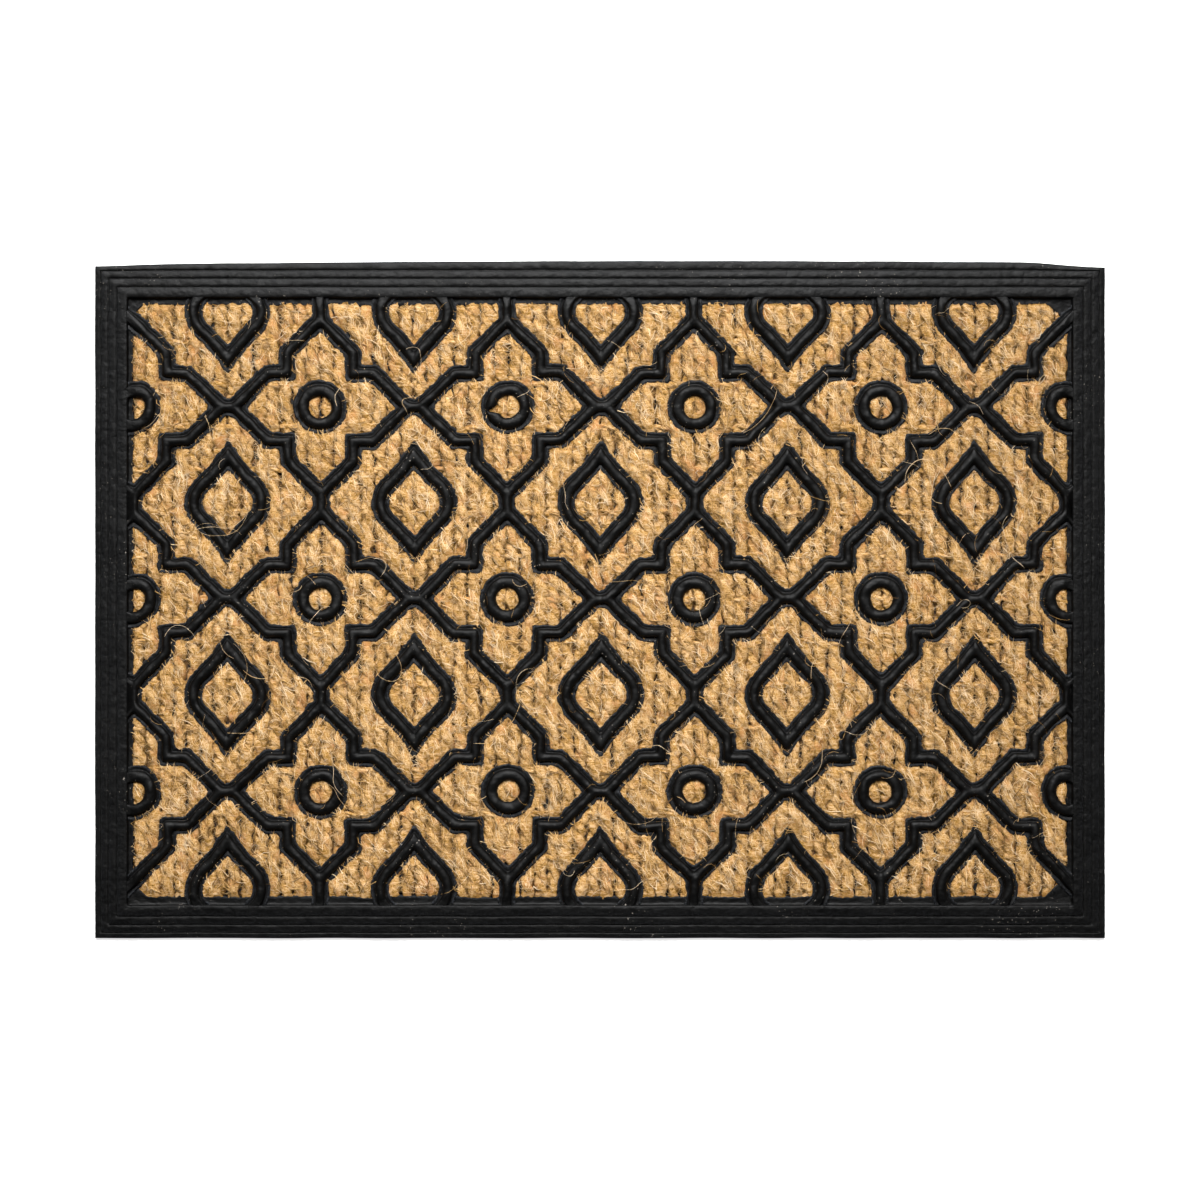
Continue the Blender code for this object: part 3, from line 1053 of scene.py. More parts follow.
@dataclass(frozen=True)
class Lie:
    """How the mat lies, in millimetres.

    The inlay is pushed a little to the rear and wobbles, and the thin outer edge bows out at
    the rear. Each fade is the length over which one of these sets in.
    """

    layout: Layout
    bow: float = 2.4
    bow_middle: float = 45.0
    bow_reach: float = 345.0
    corner_dip: tuple[float, float] = (0.7, 2.6)
    dip_fade: float = 52.0
    edge_width: float = 4.2
    edge_fade: float = 3.6
    inlay_margin: float = 2.0
    inlay_fade: float = 14.0
    heave: float = 1.5
    heave_share: float = 0.6
    shift: float = 0.5
    wobble: tuple[Ripple, Ripple] = (Ripple(60.0, 170.0, 0.28, 31), Ripple(60.0, 170.0, 0.28, 32))
    shake: tuple[Ripple, Ripple] = (Ripple(9.0, 26.0, 0.13, 33), Ripple(9.0, 26.0, 0.13, 34))

    def settle_inlay(self, piece: bpy.types.Object) -> None:
        """Move a finished piece of the inlay."""
        points = read_points(piece)
        x, y = points[:, 0].copy(), points[:, 1].copy()
        layout, margin = self.layout, self.inlay_margin
        free = smooth_step((layout.window_y + margin - np.abs(y)) / self.inlay_fade)
        free *= smooth_step((layout.window_x + margin - np.abs(x)) / self.inlay_fade)
        points[:, 0] += (self.shift + self.wobble[0].at(x, y) + self.shake[0].at(x, y)) * free
        reach = 1.0 - self.heave_share * (y / layout.window_y) ** 4
        points[:, 1] += self.heave * reach * free
        points[:, 1] += (self.wobble[1].at(x, y) + self.shake[1].at(x, y)) * free
        write_points(piece, points)

    def settle_edge(self, piece: bpy.types.Object) -> None:
        """Bow the outer edge of the border or the backing."""
        points = read_points(piece)
        x = points[:, 0]
        span = 1.0 - ((x - self.bow_middle) / self.bow_reach) ** 2
        dip = np.where(x < 0.0, *self.corner_dip)
        dip *= smooth_step((np.abs(x) - self.layout.half_x + self.dip_fade) / self.dip_fade)
        outer = points[:, 1] - self.layout.half_y + self.edge_width
        outer = smooth_step(outer / self.edge_fade)
        points[:, 1] += (self.bow * span - dip) * outer
        write_points(piece, points)


# ---------------------------------------------------------------------------------------------
# Rubber
# ---------------------------------------------------------------------------------------------

@dataclass(frozen=True)
class RibSection:
    """Half section of a rib, from the crown outwards, in millimetres."""

    crown: float
    flange: float
    floor: float
    bead: float
    reach: float

    def stations(self) -> list[tuple[float, float, float, float]]:
        """List the points of the section.

        Returns:
            (offset, height, raggedness, scuff) from the crown down to the floor.
        """
        low = self.flange - 0.35
        rise = self.crown - low
        rim = self.reach - self.bead
        bead = [(self.bead * math.sin(angle), low + rise * math.cos(angle) ** 0.85, 0.0, 0.0)
                for angle in np.radians([0, 20, 38, 55, 70, 82])]
        return bead + [
            (self.bead + 0.06 * rim, low - 0.50, 0.1, 0.0),
            (self.bead + 0.30 * rim, low - 0.05, 0.4, 0.1),
            (self.bead + 0.66 * rim, self.flange + 0.02, 0.8, 0.6),
            (self.bead + 0.92 * rim, self.flange - 0.12, 1.0, 1.0),
            (self.reach, self.flange - 0.55, 1.0, 0.6),
            (self.reach + 0.02, self.floor, 1.0, 0.0),
        ]


@dataclass
class Ribs:
    """The raised rubber ribs: lattice, rings and drops.

    Sizes are in millimetres. The wanders say how ragged the torn rims and how wavy the beads
    are. Towards the border the ribs sink to stay under its land, and run on beneath it.
    """

    layout: Layout
    step: float = 1.5
    bead_half: float = 2.65
    ring_bead_half: float = 3.3
    drop_bead_half: float = 2.9
    rim_wander: float = 0.25
    bead_wander: float = 0.07
    run_under: float = 1.6
    merge_reach: float = 6.0
    past_corner: float = 14.0
    ring_turns: int = 64
    corner_search: float = 6.0
    neck_search: float = 1.0
    open_reach: float = 25.0
    sag: float = 0.14
    lift_depth: float = 1.2
    tuck: float = 0.15
    tear_fade: float = 0.5
    merge: float = 0.02
    hump: Ripple = Ripple(6.0, 15.0, 0.13, 41)
    lift: Ripple = Ripple(3.5, 9.0, 0.10, 42)

    def stations(self, bead: float, reach: float) -> list[tuple[float, float, float, float]]:
        """Section of a rib with a given bead, whose flange reaches a given distance."""
        layout = self.layout
        section = RibSection(layout.bead_top, layout.flange_top, layout.rib_floor, bead, reach)
        return section.stations()

    def inset(self, corners: np.ndarray, distance: float) -> np.ndarray:
        """Move an outline's edges to their left and meet them again in sharp corners."""
        arriving = corners - np.roll(corners, 1, axis=0)
        arriving /= np.hypot(*arriving.T)[:, None]
        leaving = np.roll(arriving, -1, axis=0)
        normal = np.stack([-arriving[:, 1] - leaving[:, 1], arriving[:, 0] + leaving[:, 0]], axis=1)
        return corners + normal * distance / (1.0 + (arriving * leaving).sum(1))[:, None]

    def soften(self, row: np.ndarray, rounds: int) -> np.ndarray:
        """Round the corners of a closed row of points."""
        for _ in range(rounds):
            row = (np.roll(row, 1, axis=0) + 2.0 * row + np.roll(row, -1, axis=0)) / 4.0
        return row

    def leftward(self, row: np.ndarray) -> np.ndarray:
        """Unit vectors to the left of a closed row of points."""
        ahead = np.roll(row, -1, axis=0) - np.roll(row, 1, axis=0)
        ahead /= np.maximum(np.hypot(*ahead.T), 1e-6)[:, None]
        return np.stack([-ahead[:, 1], ahead[:, 0]], axis=1)

    def cell_rows(self, corners: np.ndarray, fillet: int, rng: np.random.Generator
                  ) -> tuple[np.ndarray, np.ndarray]:
        """Rows of points from the crown down to the rim of one cell of the lattice.

        Args:
            corners: The cell's centre line, counter-clockwise.
            fillet: How much the rim's corners are rounded.
            rng: Random source for the torn rim.

        Returns:
            Rows of points, and how scuffed each is.
        """
        lengths = np.hypot(*(np.roll(corners, -1, axis=0) - corners).T)
        before, share = shared_out(lengths, self.step)
        rim = ragged(rng, len(before), 0) * 0.8 + ragged(rng, len(before), 1) * 0.8
        rim += ragged(rng, len(before), 4) * 0.6
        wave = ragged(rng, len(before), 6)
        rows, scuffs = [], []
        stations = self.stations(self.bead_half, self.layout.lattice_half)
        for offset, height, wander, scuff in stations + [(0.0, self.layout.rib_floor, 0.0, 0.0)]:
            row = between(self.inset(corners, offset), before, share)
            depth = min(offset / self.layout.lattice_half, 1.0)
            row = self.soften(row, round(depth * fillet) + (1 if offset else 0))
            shift = rim * self.rim_wander * wander + wave * self.bead_wander * min(depth, 0.5)
            row = row + self.leftward(row) * shift[:, None]
            rows.append(np.column_stack([row, np.full(len(row), height)]))
            scuffs.append(scuff)
        return np.array(rows), np.array(scuffs)

    def band(self, name: str, curve: Callable[[float], np.ndarray], bead: float,
             reach: tuple[float, float], rng: np.random.Generator) -> bpy.types.Object:
        """Shape of a rib that closes on itself, at the origin in millimetres.

        Args:
            name: Name of the shape.
            curve: Gives the outline at a signed offset from the crown.
            bead: Half the width of its bead.
            reach: How far its inner and its outer flange reach.
            rng: Random source for the torn rims.

        Returns:
            The shape.
        """
        inward = [(-offset, *rest) for offset, *rest in self.stations(bead, reach[0])]
        outward = self.stations(bead, reach[1])
        count = len(curve(0.0))
        rims = [ragged(rng, count, 0) * 0.8 + ragged(rng, count, 2) * 0.5 for _ in range(2)]
        rows, scuffs = [], []
        for offset, height, wander, scuff in outward[::-1] + inward[1:]:
            rim = rims[0] if offset > 0 else rims[1] * 0.5
            row = curve(offset)
            row = row - self.leftward(row) * (rim * self.rim_wander * wander)[:, None]
            rows.append(np.column_stack([row, np.full(count, height)]))
            scuffs.append(scuff)
        return rows_object(name, np.array(rows) / MM, True, None, scuffs)

    def ring_crown(self) -> float:
        """Radius of the crown of a ring's bead."""
        return self.layout.ring_inner + 0.1 + self.ring_bead_half

    def ring_curve(self, offset: float) -> np.ndarray:
        """Outline of a ring at an offset from the crown of its bead."""
        crown = self.ring_crown()
        turns = np.linspace(0.0, math.tau, self.ring_turns, endpoint=False)
        return (crown + offset) * np.column_stack([np.cos(turns), np.sin(turns)])

    def drop_curve(self, offset: float) -> np.ndarray:
        """Outline of a drop at an offset from its centre line."""
        shoulder, flank, centre, touch = self.layout.drop_arcs()
        turns = np.linspace(0.0, touch, 9)
        radius = self.layout.shoulder_radius + offset
        arc = np.column_stack([shoulder + radius * np.cos(turns), radius * np.sin(turns)])
        tip = math.acos(centre[0] / (flank - offset))
        turns = np.linspace(touch, tip, 20)[1:]
        side = centre - (flank - offset) * np.column_stack([np.cos(turns), np.sin(turns)])
        quarter = np.vstack([arc, side])
        upper = np.vstack([quarter, (quarter * (-1, 1))[::-1][1:]])
        return self.soften(np.vstack([upper, (upper * (1, -1))[::-1][1:-1]]), 1)

    def tidy_up(self, piece: bpy.types.Object, name: str, material: bpy.types.Material
                ) -> bpy.types.Object:
        """End ribs under the border's land, and give them their humps and the tear.

        Args:
            piece: The ribs, which are used up.
            name: Name of the finished piece.
            material: Rubber.

        Returns:
            The finished piece.
        """
        points, faces = read_points(piece), read_faces(piece)
        scuff = read_floats(piece, "edge")
        bpy.data.objects.remove(piece)
        layout = self.layout
        limit = np.array([layout.window_x, layout.window_y]) + self.run_under
        beyond = (np.abs(points[:, :2]) > limit).any(axis=1)
        faces = faces[~beyond[faces].all(axis=1)]
        points[:, :2] = np.clip(points[:, :2], -limit, limit)
        x, y, z = points.T.copy()
        high = smooth_step((z - layout.flange_top) / (layout.bead_top - layout.flange_top))
        rim = smooth_step((z - layout.rib_floor) / self.lift_depth) * (1.0 - high)
        points[:, 2] += (self.hump.at(x, y) - self.sag) * high + self.lift.at(x, y) * rim
        near = np.abs(points[:, :2]) - (limit - self.run_under - self.merge_reach)
        merge = smooth_step((near / self.merge_reach).max(axis=1))
        over = points[:, 2] - (layout.land_top - self.tuck)
        points[:, 2] -= np.where(over > 0.0, over * merge, 0.0)
        torn = smooth_step(layout.tear.room(x, y) / self.tear_fade)
        points[:, 2] += (layout.rib_floor + 0.1 - points[:, 2]) * torn
        used = np.unique(faces)
        remap = np.zeros(len(points), dtype=int)
        remap[used] = np.arange(len(used))
        made = mesh_object(name, points[used], remap[faces], material, scuff[used])
        close_up(made, self.merge * MM)
        return made

    def cells(self) -> list[tuple[np.ndarray, int]]:
        """Centre lines of all cells of the lattice.

        Returns:
            The corners of each cell and how rounded its rim is.
        """
        layout = self.layout
        ring_cell = mirrored(layout.ring_cell())
        half = np.array([layout.pitch_x, layout.pitch_y]) / 2
        drop_cell = mirrored((half - layout.ring_cell())[::-1])
        cells = [(ring_cell + place, 1) for place in layout.ring_places()]
        for place in layout.drop_places():
            cells.append((self.open_cell(drop_cell, place[1]) + place, 1))
        neck = layout.pitch_y + layout.pitch_y / 2 - layout.neck_y
        for corners, _ in cells:
            outer = np.abs(np.abs(corners[:, 0]) - layout.window_x) < self.corner_search
            outer &= np.abs(corners[:, 1]) > neck - self.neck_search
            corners[outer] += np.sign(corners[outer]) * self.past_corner
        return cells

    def open_cell(self, corners: np.ndarray, row: float) -> np.ndarray:
        """Run the necks of a cell that the border cuts straight on outwards."""
        if abs(row) < self.layout.pitch_y:
            return corners.copy()
        side = math.copysign(1.0, row)
        kept = corners[corners[:, 1] * side < self.layout.neck_y * 0.5]
        start = math.pi / 2 * side
        order = np.argsort(np.mod(np.arctan2(kept[:, 1], kept[:, 0]) - start, math.tau))
        wide, far = self.layout.pitch_x / 2, self.open_reach * side
        return np.vstack([kept[order], [(wide * side, far), (-wide * side, far)]])

    def build_lattice(self, rubber: bpy.types.Material, rng: np.random.Generator
                      ) -> bpy.types.Object:
        """Build the lattice from the rims of its cells.

        Args:
            rubber: Its material.
            rng: Random source for the torn rims.

        Returns:
            The piece.
        """
        points, faces, scuffs = [], [], []
        start = 0
        for corners, fillet in self.cells():
            rows, scuff = self.cell_rows(corners, fillet, rng)
            faces.append(grid_faces(*rows.shape[:2], False) + start)
            points.append(rows.reshape(-1, 3))
            scuffs.append(np.repeat(scuff, rows.shape[1]))
            start += len(points[-1])
        cells = mesh_object("lattice_cells", np.vstack(points), np.vstack(faces), rubber,
                            np.concatenate(scuffs))
        return self.tidy_up(cells, "rubber_lattice", rubber)

    def build(self, rubber: bpy.types.Material) -> dict[str, bpy.types.Object]:
        """Build all ribs.

        Args:
            rubber: Their material.

        Returns:
            The pieces by the kind of node that they replace.
        """
        rng = np.random.default_rng(SEED)
        layout = self.layout
        pieces = {"lattice": self.build_lattice(rubber, rng)}
        crown = self.ring_crown()
        reach = (crown - layout.ring_inner, layout.ring_outer - crown)
        ring = self.band("ring", self.ring_curve, self.ring_bead_half, reach, rng)
        reach = (layout.drop_half, layout.drop_half)
        drop = self.band("drop", self.drop_curve, self.drop_bead_half, reach, rng)
        stamps = StampTree("rib_stamps", rubber)
        turns = self.ring_turns
        for kind, shape, places, turn in (("ring", ring, layout.ring_places(), math.tau / turns),
                                          ("drop", drop, layout.drop_places(), math.pi)):
            flat = np.column_stack([places, np.zeros(len(places))])
            spin = rng.integers(0, turns, len(places)) * turn
            piece = stamps.stamp(kind + "_stamps", shape, flat, spin)
            pieces[kind] = self.tidy_up(piece, f"rubber_{kind}s", rubber)
        return pieces


@dataclass
class Border:
    """The stepped rubber border with its gutter floor, and the backing under it.

    A tread is (start, end, height) with its start and end counted from the outer edge. A point
    of the gutter is (share of the way from the land to the coir, height).
    """

    layout: Layout
    lie: Lie
    step: float = 2.2
    backing_step: float = 6.0
    land_width: float = 20.0
    treads: tuple[tuple[float, float, float], ...] = (
        (0.0, 3.6, 3.35), (3.6, 8.4, 4.55), (8.4, 13.5, 5.8), (13.5, 20.0, 7.0))
    gutter: tuple[tuple[float, float], ...] = (
        (0.06, 4.70), (0.30, 4.55), (0.65, 4.60), (0.9, 4.80), (1.0, 4.60))
    sag: Ripple = Ripple(30.0, 90.0, 0.05, 51)
    waver: Ripple = Ripple(25.0, 80.0, 0.06, 52)
    pit: Ripple = Ripple(4.0, 11.0, 0.035, 53)

    def stations(self) -> list[tuple[float, float, float]]:
        """Section from the outer foot to the land's inner edge.

        Returns:
            (inset, height, scuff) of each station.
        """
        foot = self.layout.seat
        rows = [(0.35, foot, 0.0), (0.05, foot + 0.12, 0.1), (0.0, foot + 0.5, 0.3)]
        for start, end, top in self.treads:
            rows += [
                (start + 0.16, top - 0.75, 0.0),
                (start + 0.40, top - 0.40, 0.1),
                (start + 0.85, top - 0.24, 0.2),
                (start * 0.4 + end * 0.6, top, 0.0),
                (end - 0.80, top + 0.05, 0.0),
                (end - 0.40, top - 0.14, 0.0),
                (end - 0.10, top - 0.60, 0.0),
            ]
        return rows + [(self.land_width, 6.2, 0.0), (self.land_width + 0.08, 5.0, 0.0)]

    def rectangle(self, half_x: float, half_y: float) -> np.ndarray:
        """Corners of a rectangle about the origin, counter-clockwise."""
        return np.array([(-half_x, -half_y), (half_x, -half_y), (half_x, half_y), (-half_x, half_y)])

    def divide(self, step: float) -> tuple[np.ndarray, np.ndarray]:
        """Share points out along the mat's four sides, the same for every inset."""
        return shared_out(np.array([self.layout.half_x, self.layout.half_y] * 2) * 2, step)

    def build_border(self, rubber: bpy.types.Material) -> bpy.types.Object:
        """Build the border.

        Args:
            rubber: Its material.

        Returns:
            The piece.
        """
        layout = self.layout
        rng = np.random.default_rng(SEED + 1)
        outer = self.rectangle(layout.half_x, layout.half_y)
        inward = -np.sign(outer)
        coir = np.array([layout.coir_low, (layout.coir_high[0], layout.coir_low[1]),
                         layout.coir_high, (layout.coir_low[0], layout.coir_high[1])])
        window = outer + inward * (self.land_width + 0.1)
        before, share = self.divide(self.step)
        lines = [(outer + inward * inset, height, scuff, 0.0)
                 for inset, height, scuff in self.stations()]
        for part, height in self.gutter:
            lines.append((window + (coir - window) * part, height, 0.4 * part ** 4, part))
        lines += [(coir + inward * 0.4, 4.0, 0.0, 1.0),
                  (coir + inward * 0.5, layout.seat, 0.0, 1.0)]
        rim = ragged(rng, len(before), 0) * 0.22 + ragged(rng, len(before), 2) * 0.35
        side = inward[before] * np.where((before % 2 == 0)[:, None], (0, 1), (1, 0))
        rows, scuffs = [], []
        for corners, height, scuff, part in lines:
            row = between(corners, before, share)
            row = row + side * (self.waver.at(*row.T) + rim * part ** 3)[:, None]
            row = self.cut_corner(row, part)
            level = height + self.sag.at(*row.T) + self.pit.at(*row.T)
            rows.append(np.column_stack([row, level]))
            scuffs.append(scuff)
        made = rows_object("rubber_border", rows, True, rubber, scuffs)
        self.lie.settle_edge(made)
        return made

    def cut_corner(self, row: np.ndarray, part: float) -> np.ndarray:
        """Cut off the corners of the gutter's rows, fully where the gutter meets the coir."""
        excess = np.maximum(self.layout.corner_excess(row[:, 0], row[:, 1]), 0.0) * part
        return row - np.sign(row) * excess[:, None] / 2.0

    def build_backing(self, rubber: bpy.types.Material) -> bpy.types.Object:
        """Build the backing sheet, with rounded edges.

        Args:
            rubber: Its material.

        Returns:
            The piece.
        """
        layout = self.layout
        outer = self.rectangle(layout.half_x, layout.half_y)
        inward = -np.sign(outer)
        before, share = self.divide(self.backing_step)
        top = layout.backing_top
        rows = []
        for inset, height in ((30.0, 0.0), (0.6, 0.0), (0.2, 0.12), (0.0, 0.5), (0.0, top - 0.4),
                              (0.15, top - 0.08), (0.4, top), (30.0, top)):
            row = between(outer + inward * inset, before, share)
            rows.append(np.column_stack([row, np.full(len(row), height)]))
        made = rows_object("rubber_backing", rows, False, rubber, [0.0] * len(rows))
        close_up(made, 0.001 * MM)
        self.lie.settle_edge(made)
        return made


# ---------------------------------------------------------------------------------------------
# Coir
# ---------------------------------------------------------------------------------------------

@dataclass(frozen=True)
class Yarn:
    """Sizes of one set of twisted yarns, in millimetres.

    The last two are the points along each ply and the sides of its section.
    """

    half_wave: float
    wave: float
    twist: float
    helix_radius: float
    ply_radius: float
    middle: float
    wander: float
    flatten: float
    rings: int
    sides: int

    def inputs(self) -> dict[str, float]:
        """Inputs of the ply tree."""
        return {"Half Wave": self.half_wave, "Wave": self.wave, "Twist": self.twist,
                "Helix Radius": self.helix_radius, "Middle": self.middle, "Wander": self.wander}


class Surface:
    """Top of some pieces as seen from above, and the way that their plies run."""

    ABOVE = 30.0

    def __init__(self, pieces: list[bpy.types.Object]) -> None:
        """Gather the pieces."""
        points, faces, headings = [], [], []
        for piece in pieces:
            layer = piece.data.attributes.get("heading")
            heading = np.zeros(len(piece.data.vertices) * 3, dtype=np.float32)
            if layer is not None:
                layer.data.foreach_get("vector", heading)
            start = len(points)
            points += read_points(piece).tolist()
            faces += [tuple(corner + start for corner in face.vertices)
                      for face in piece.data.polygons]
            first = np.array([face.vertices[0] for face in piece.data.polygons])
            headings.append(heading.reshape(-1, 3)[first])
        self.tree = BVHTree.FromPolygons(points, faces)
        heading = np.vstack(headings)
        self.angles = np.arctan2(heading[:, 1], heading[:, 0])

    def drop(self, x: np.ndarray, y: np.ndarray, floor: float) -> tuple[np.ndarray, np.ndarray]:
        """Find what lies below points.

        Args:
            x: First coordinates.
            y: Second coordinates.
            floor: Height where nothing does.

        Returns:
            The heights, and the angles of the plies there.
        """
        heights = np.full(len(x), floor)
        angles = np.zeros(len(x))
        down = Vector((0.0, 0.0, -1.0))
        for i, (east, north) in enumerate(zip(x, y)):
            hit, _, face, _ = self.tree.ray_cast(Vector((east, north, self.ABOVE)), down)
            if hit is not None:
                heights[i] = max(hit.z, floor)
                angles[i] = self.angles[face]
        return heights, angles


@dataclass(frozen=True)
class FibreKind:
    """One sort of loose or laid fibre; lengths in millimetres and angles in radians.

    Stray and curl are spreads of its direction, tint is the mean and the spread of its shade,
    and bridge is how far it sags between what it lies on. It starts where the distance from
    the rubber lies in its room, and stays within its spill of the coir's outline. It may follow
    the plies, and may cross the rubber.
    """

    count: int
    steps: int
    length: tuple[float, float]
    width: tuple[float, float]
    stray: float
    curl: float
    tint: tuple[float, float]
    bridge: float
    room: tuple[float, float] = (0.6, FAR)
    spill: float = 1.2
    follow: bool = False
    over_rubber: bool = False


@dataclass
class Coir:
    """The woven coir sheet: ground cloth, twisted yarns and fibres.

    Sizes are in millimetres. Under a flange the yarns are held down by the press depth. Away
    from it they rise, a little over the nip and to their full height over the slope, which are
    (start, length) of a distance. Where holes passes its limit, yarns sink and fibres are
    missing. Fibres lying lower than the painted shade height are darker and higher ones paler:
    painted shade in the crevices and painted light on top.
    """

    layout: Layout
    spacing: float = 7.92
    run_out: float = 2.4
    weft: Yarn = Yarn(25.5, 1.1, 18.0, 1.75, 2.85, 4.35, 7.0, 0.62, 150, 8)
    warp: Yarn = Yarn(7.92, 0.7, 15.0, 0.95, 1.35, 4.5, 2.0, 0.7, 240, 6)
    ply_spread: float = 0.08
    press_depth: float = 1.1
    press_margin: float = 0.7
    nip_rise: float = 0.55
    nip: tuple[float, float] = (-0.25, 0.9)
    full_rise: float = 2.9
    slope: tuple[float, float] = (0.4, 2.2)
    firmness: float = 0.88
    lowest: float = 0.4
    patch: Ripple = Ripple(7.0, 26.0, 0.13, 61)
    holes: Ripple = Ripple(6.0, 15.0, 1.0, 62, 15)
    hole_limit: float = 2.15
    hole_edge: float = 0.40
    hole_depth: float = 0.65
    painted_shade_height: float = 6.6
    painted_shade_rate: float = 0.10
    laid: FibreKind = FibreKind(33000, 4, (4.0, 12.0), (0.10, 0.28), 0.55, 0.24, (0.47, 0.30),
                                0.08, follow=True)
    tangle: FibreKind = FibreKind(5200, 6, (5.0, 15.0), (0.09, 0.18), 1.3, 0.35, (0.62, 0.28),
                                  0.08)
    over: FibreKind = FibreKind(220, 8, (5.0, 14.0), (0.07, 0.12), 1.6, 0.24, (0.40, 0.30),
                                0.04, (-3.0, 2.0), 3.5, over_rubber=True)
    strays: FibreKind = FibreKind(85, 26, (12.0, 46.0), (0.09, 0.15), 1.6, 0.16, (0.85, 0.15),
                                  0.02, (-3.0, FAR), 3.5, over_rubber=True)
    tries: int = 4
    bend_kept: float = 0.85
    bend_added: float = 0.4
    seat: float = 0.55
    ground_points: tuple[int, int] = (140, 90)
    ground_thickness: float = 1.0
    ground_wave: float = 0.15

    def lanes(self) -> np.ndarray:
        """Middles of the yarns that run along Y."""
        low, high = self.layout.coir_low[0], self.layout.coir_high[0]
        count = round((high - low) / self.spacing)
        return low + (np.arange(count) + 0.5) * (high - low) / count

    def rows(self) -> np.ndarray:
        """Numbers of the yarns that run along X, counted from the middle."""
        low, high = self.layout.coir_low[1], self.layout.coir_high[1]
        half = self.weft.half_wave
        return np.arange(math.ceil(low / half), math.floor(high / half) + 1)

    def press(self, piece: bpy.types.Object, yarn: Yarn) -> None:
        """Flatten yarns, and press them down where the rubber lies on them.

        Args:
            piece: The yarns.
            yarn: Their sizes.
        """
        points = read_points(piece)
        points[:, 2] = yarn.middle + (points[:, 2] - yarn.middle) * yarn.flatten
        x, y = points[:, 0], points[:, 1]
        layout = self.layout
        room = np.minimum(layout.clearance(x, y), layout.edge_room(x, y) - self.press_margin)
        cap = layout.flange_top - self.press_depth
        for rise, (start, length) in ((self.nip_rise, self.nip), (self.full_rise, self.slope)):
            cap = cap + rise * smooth_step((room - start) / length)
        over = np.maximum(points[:, 2] - cap, 0.0)
        points[:, 2] -= over * (self.firmness + (1.0 - self.firmness) * smooth_step(-room))
        sunk = smooth_step((self.holes.at(x, y) - self.hole_limit) / self.hole_edge)
        points[:, 2] -= sunk * (points[:, 2] - layout.backing_top) * self.hole_depth
        points[:, 2] = np.maximum(points[:, 2], layout.backing_top + self.lowest)
        write_points(piece, points)

    def plies(self, lane: np.ndarray, low: float, high: float, offset: np.ndarray, radius: float,
              rng: np.random.Generator) -> bpy.types.Object:
        """Points that carry two plies for each yarn.

        Args:
            lane: The yarns' own coordinates.
            low: Where they start.
            high: Where they end.
            offset: Where each is highest.
            radius: Radius of a ply.
            rng: Random source for the radii.

        Returns:
            The points.
        """
        count = 2 * len(lane)
        floats = {
            "lane": np.repeat(lane, 2),
            "start": np.full(count, low - self.run_out),
            "length": np.full(count, high - low + 2 * self.run_out),
            "offset": np.repeat(offset, 2),
            "ply": np.tile([0.0, math.pi], len(lane)),
            "width": radius * rng.uniform(1.0 - self.ply_spread, 1.0 + self.ply_spread, count),
        }
        return raw_mesh("plies", np.zeros((count, 3)), floats)

    def build_yarns(self, weft: bpy.types.Material, warp: bpy.types.Material
                    ) -> list[bpy.types.Object]:
        """Build the twisted yarns.

        Args:
            weft: Material of the yarns along Y.
            warp: Material of the yarns along X.

        Returns:
            The pieces.
        """
        rng = np.random.default_rng(SEED + 2)
        low, high = self.layout.coir_low, self.layout.coir_high
        tree = PlyTree("weft_plies", False, self.weft.rings, self.weft.sides, weft)
        lanes = self.lanes()
        offsets = (np.arange(len(lanes)) % 2) * self.weft.half_wave
        pieces = []
        for number, part in enumerate(np.array_split(np.arange(len(lanes)), 2)):
            holder = self.plies(lanes[part], low[1], high[1], offsets[part],
                                self.weft.ply_radius, rng)
            piece = tree.grow(f"weft_yarns_{number + 1}", holder, self.weft.inputs())
            self.press(piece, self.weft)
            pieces.append(piece)
        tree = PlyTree("warp_plies", True, self.warp.rings, self.warp.sides, warp)
        rows = self.rows()
        offsets = (0.5 + rows % 2) * self.warp.half_wave
        holder = self.plies(rows * self.weft.half_wave, low[0], high[0], offsets,
                            self.warp.ply_radius, rng)
        piece = tree.grow("warp_yarns", holder, self.warp.inputs())
        self.press(piece, self.warp)
        return pieces + [piece]

    def lay(self, kind: FibreKind, yarns: Surface, rubber: Surface, rng: np.random.Generator
            ) -> tuple[np.ndarray, np.ndarray, np.ndarray]:
        """Lay fibres of one kind on the yarns.

        Args:
            kind: The fibres' kind.
            yarns: What they lie on.
            rubber: What those that cross the ribs lie on too.
            rng: Random source.

        Returns:
            The points, radius and shade of each fibre.
        """
        layout = self.layout
        tries = kind.count * self.tries
        x = rng.uniform(layout.coir_low[0], layout.coir_high[0], tries)
        y = rng.uniform(layout.coir_low[1], layout.coir_high[1], tries)
        room = np.minimum(layout.clearance(x, y), layout.edge_room(x, y))
        whole = kind.over_rubber | (self.holes.at(x, y) < self.hole_limit)
        kept = (room > kind.room[0]) & (room < kind.room[1]) & whole
        kept = np.flatnonzero(kept)[:kind.count]
        x, y = x[kept], y[kept]
        count = len(kept)
        floor = layout.rib_floor
        step = rng.uniform(*kind.length, count) / (kind.steps - 1)
        width = kind.width[0] + (kind.width[1] - kind.width[0]) * rng.random(count) ** 2
        tint = rng.normal(*kind.tint, count)
        lean = rng.normal(0.0, kind.stray, count)
        turn = rng.uniform(0.0, math.tau, count)
        bend = rng.normal(0.0, kind.curl, count)
        chain = np.zeros((count, kind.steps, 3))
        for number in range(kind.steps):
            height, angle = yarns.drop(x, y, floor)
            if kind.over_rubber:
                height = np.maximum(height, rubber.drop(x, y, floor)[0])
            chain[:, number] = np.column_stack([x, y, height])
            bend = bend * self.bend_kept + rng.normal(0.0, kind.curl * self.bend_added, count)
            turn = angle + lean + bend * number if kind.follow else turn + bend
            x, y = x + step * np.cos(turn), y + step * np.sin(turn)
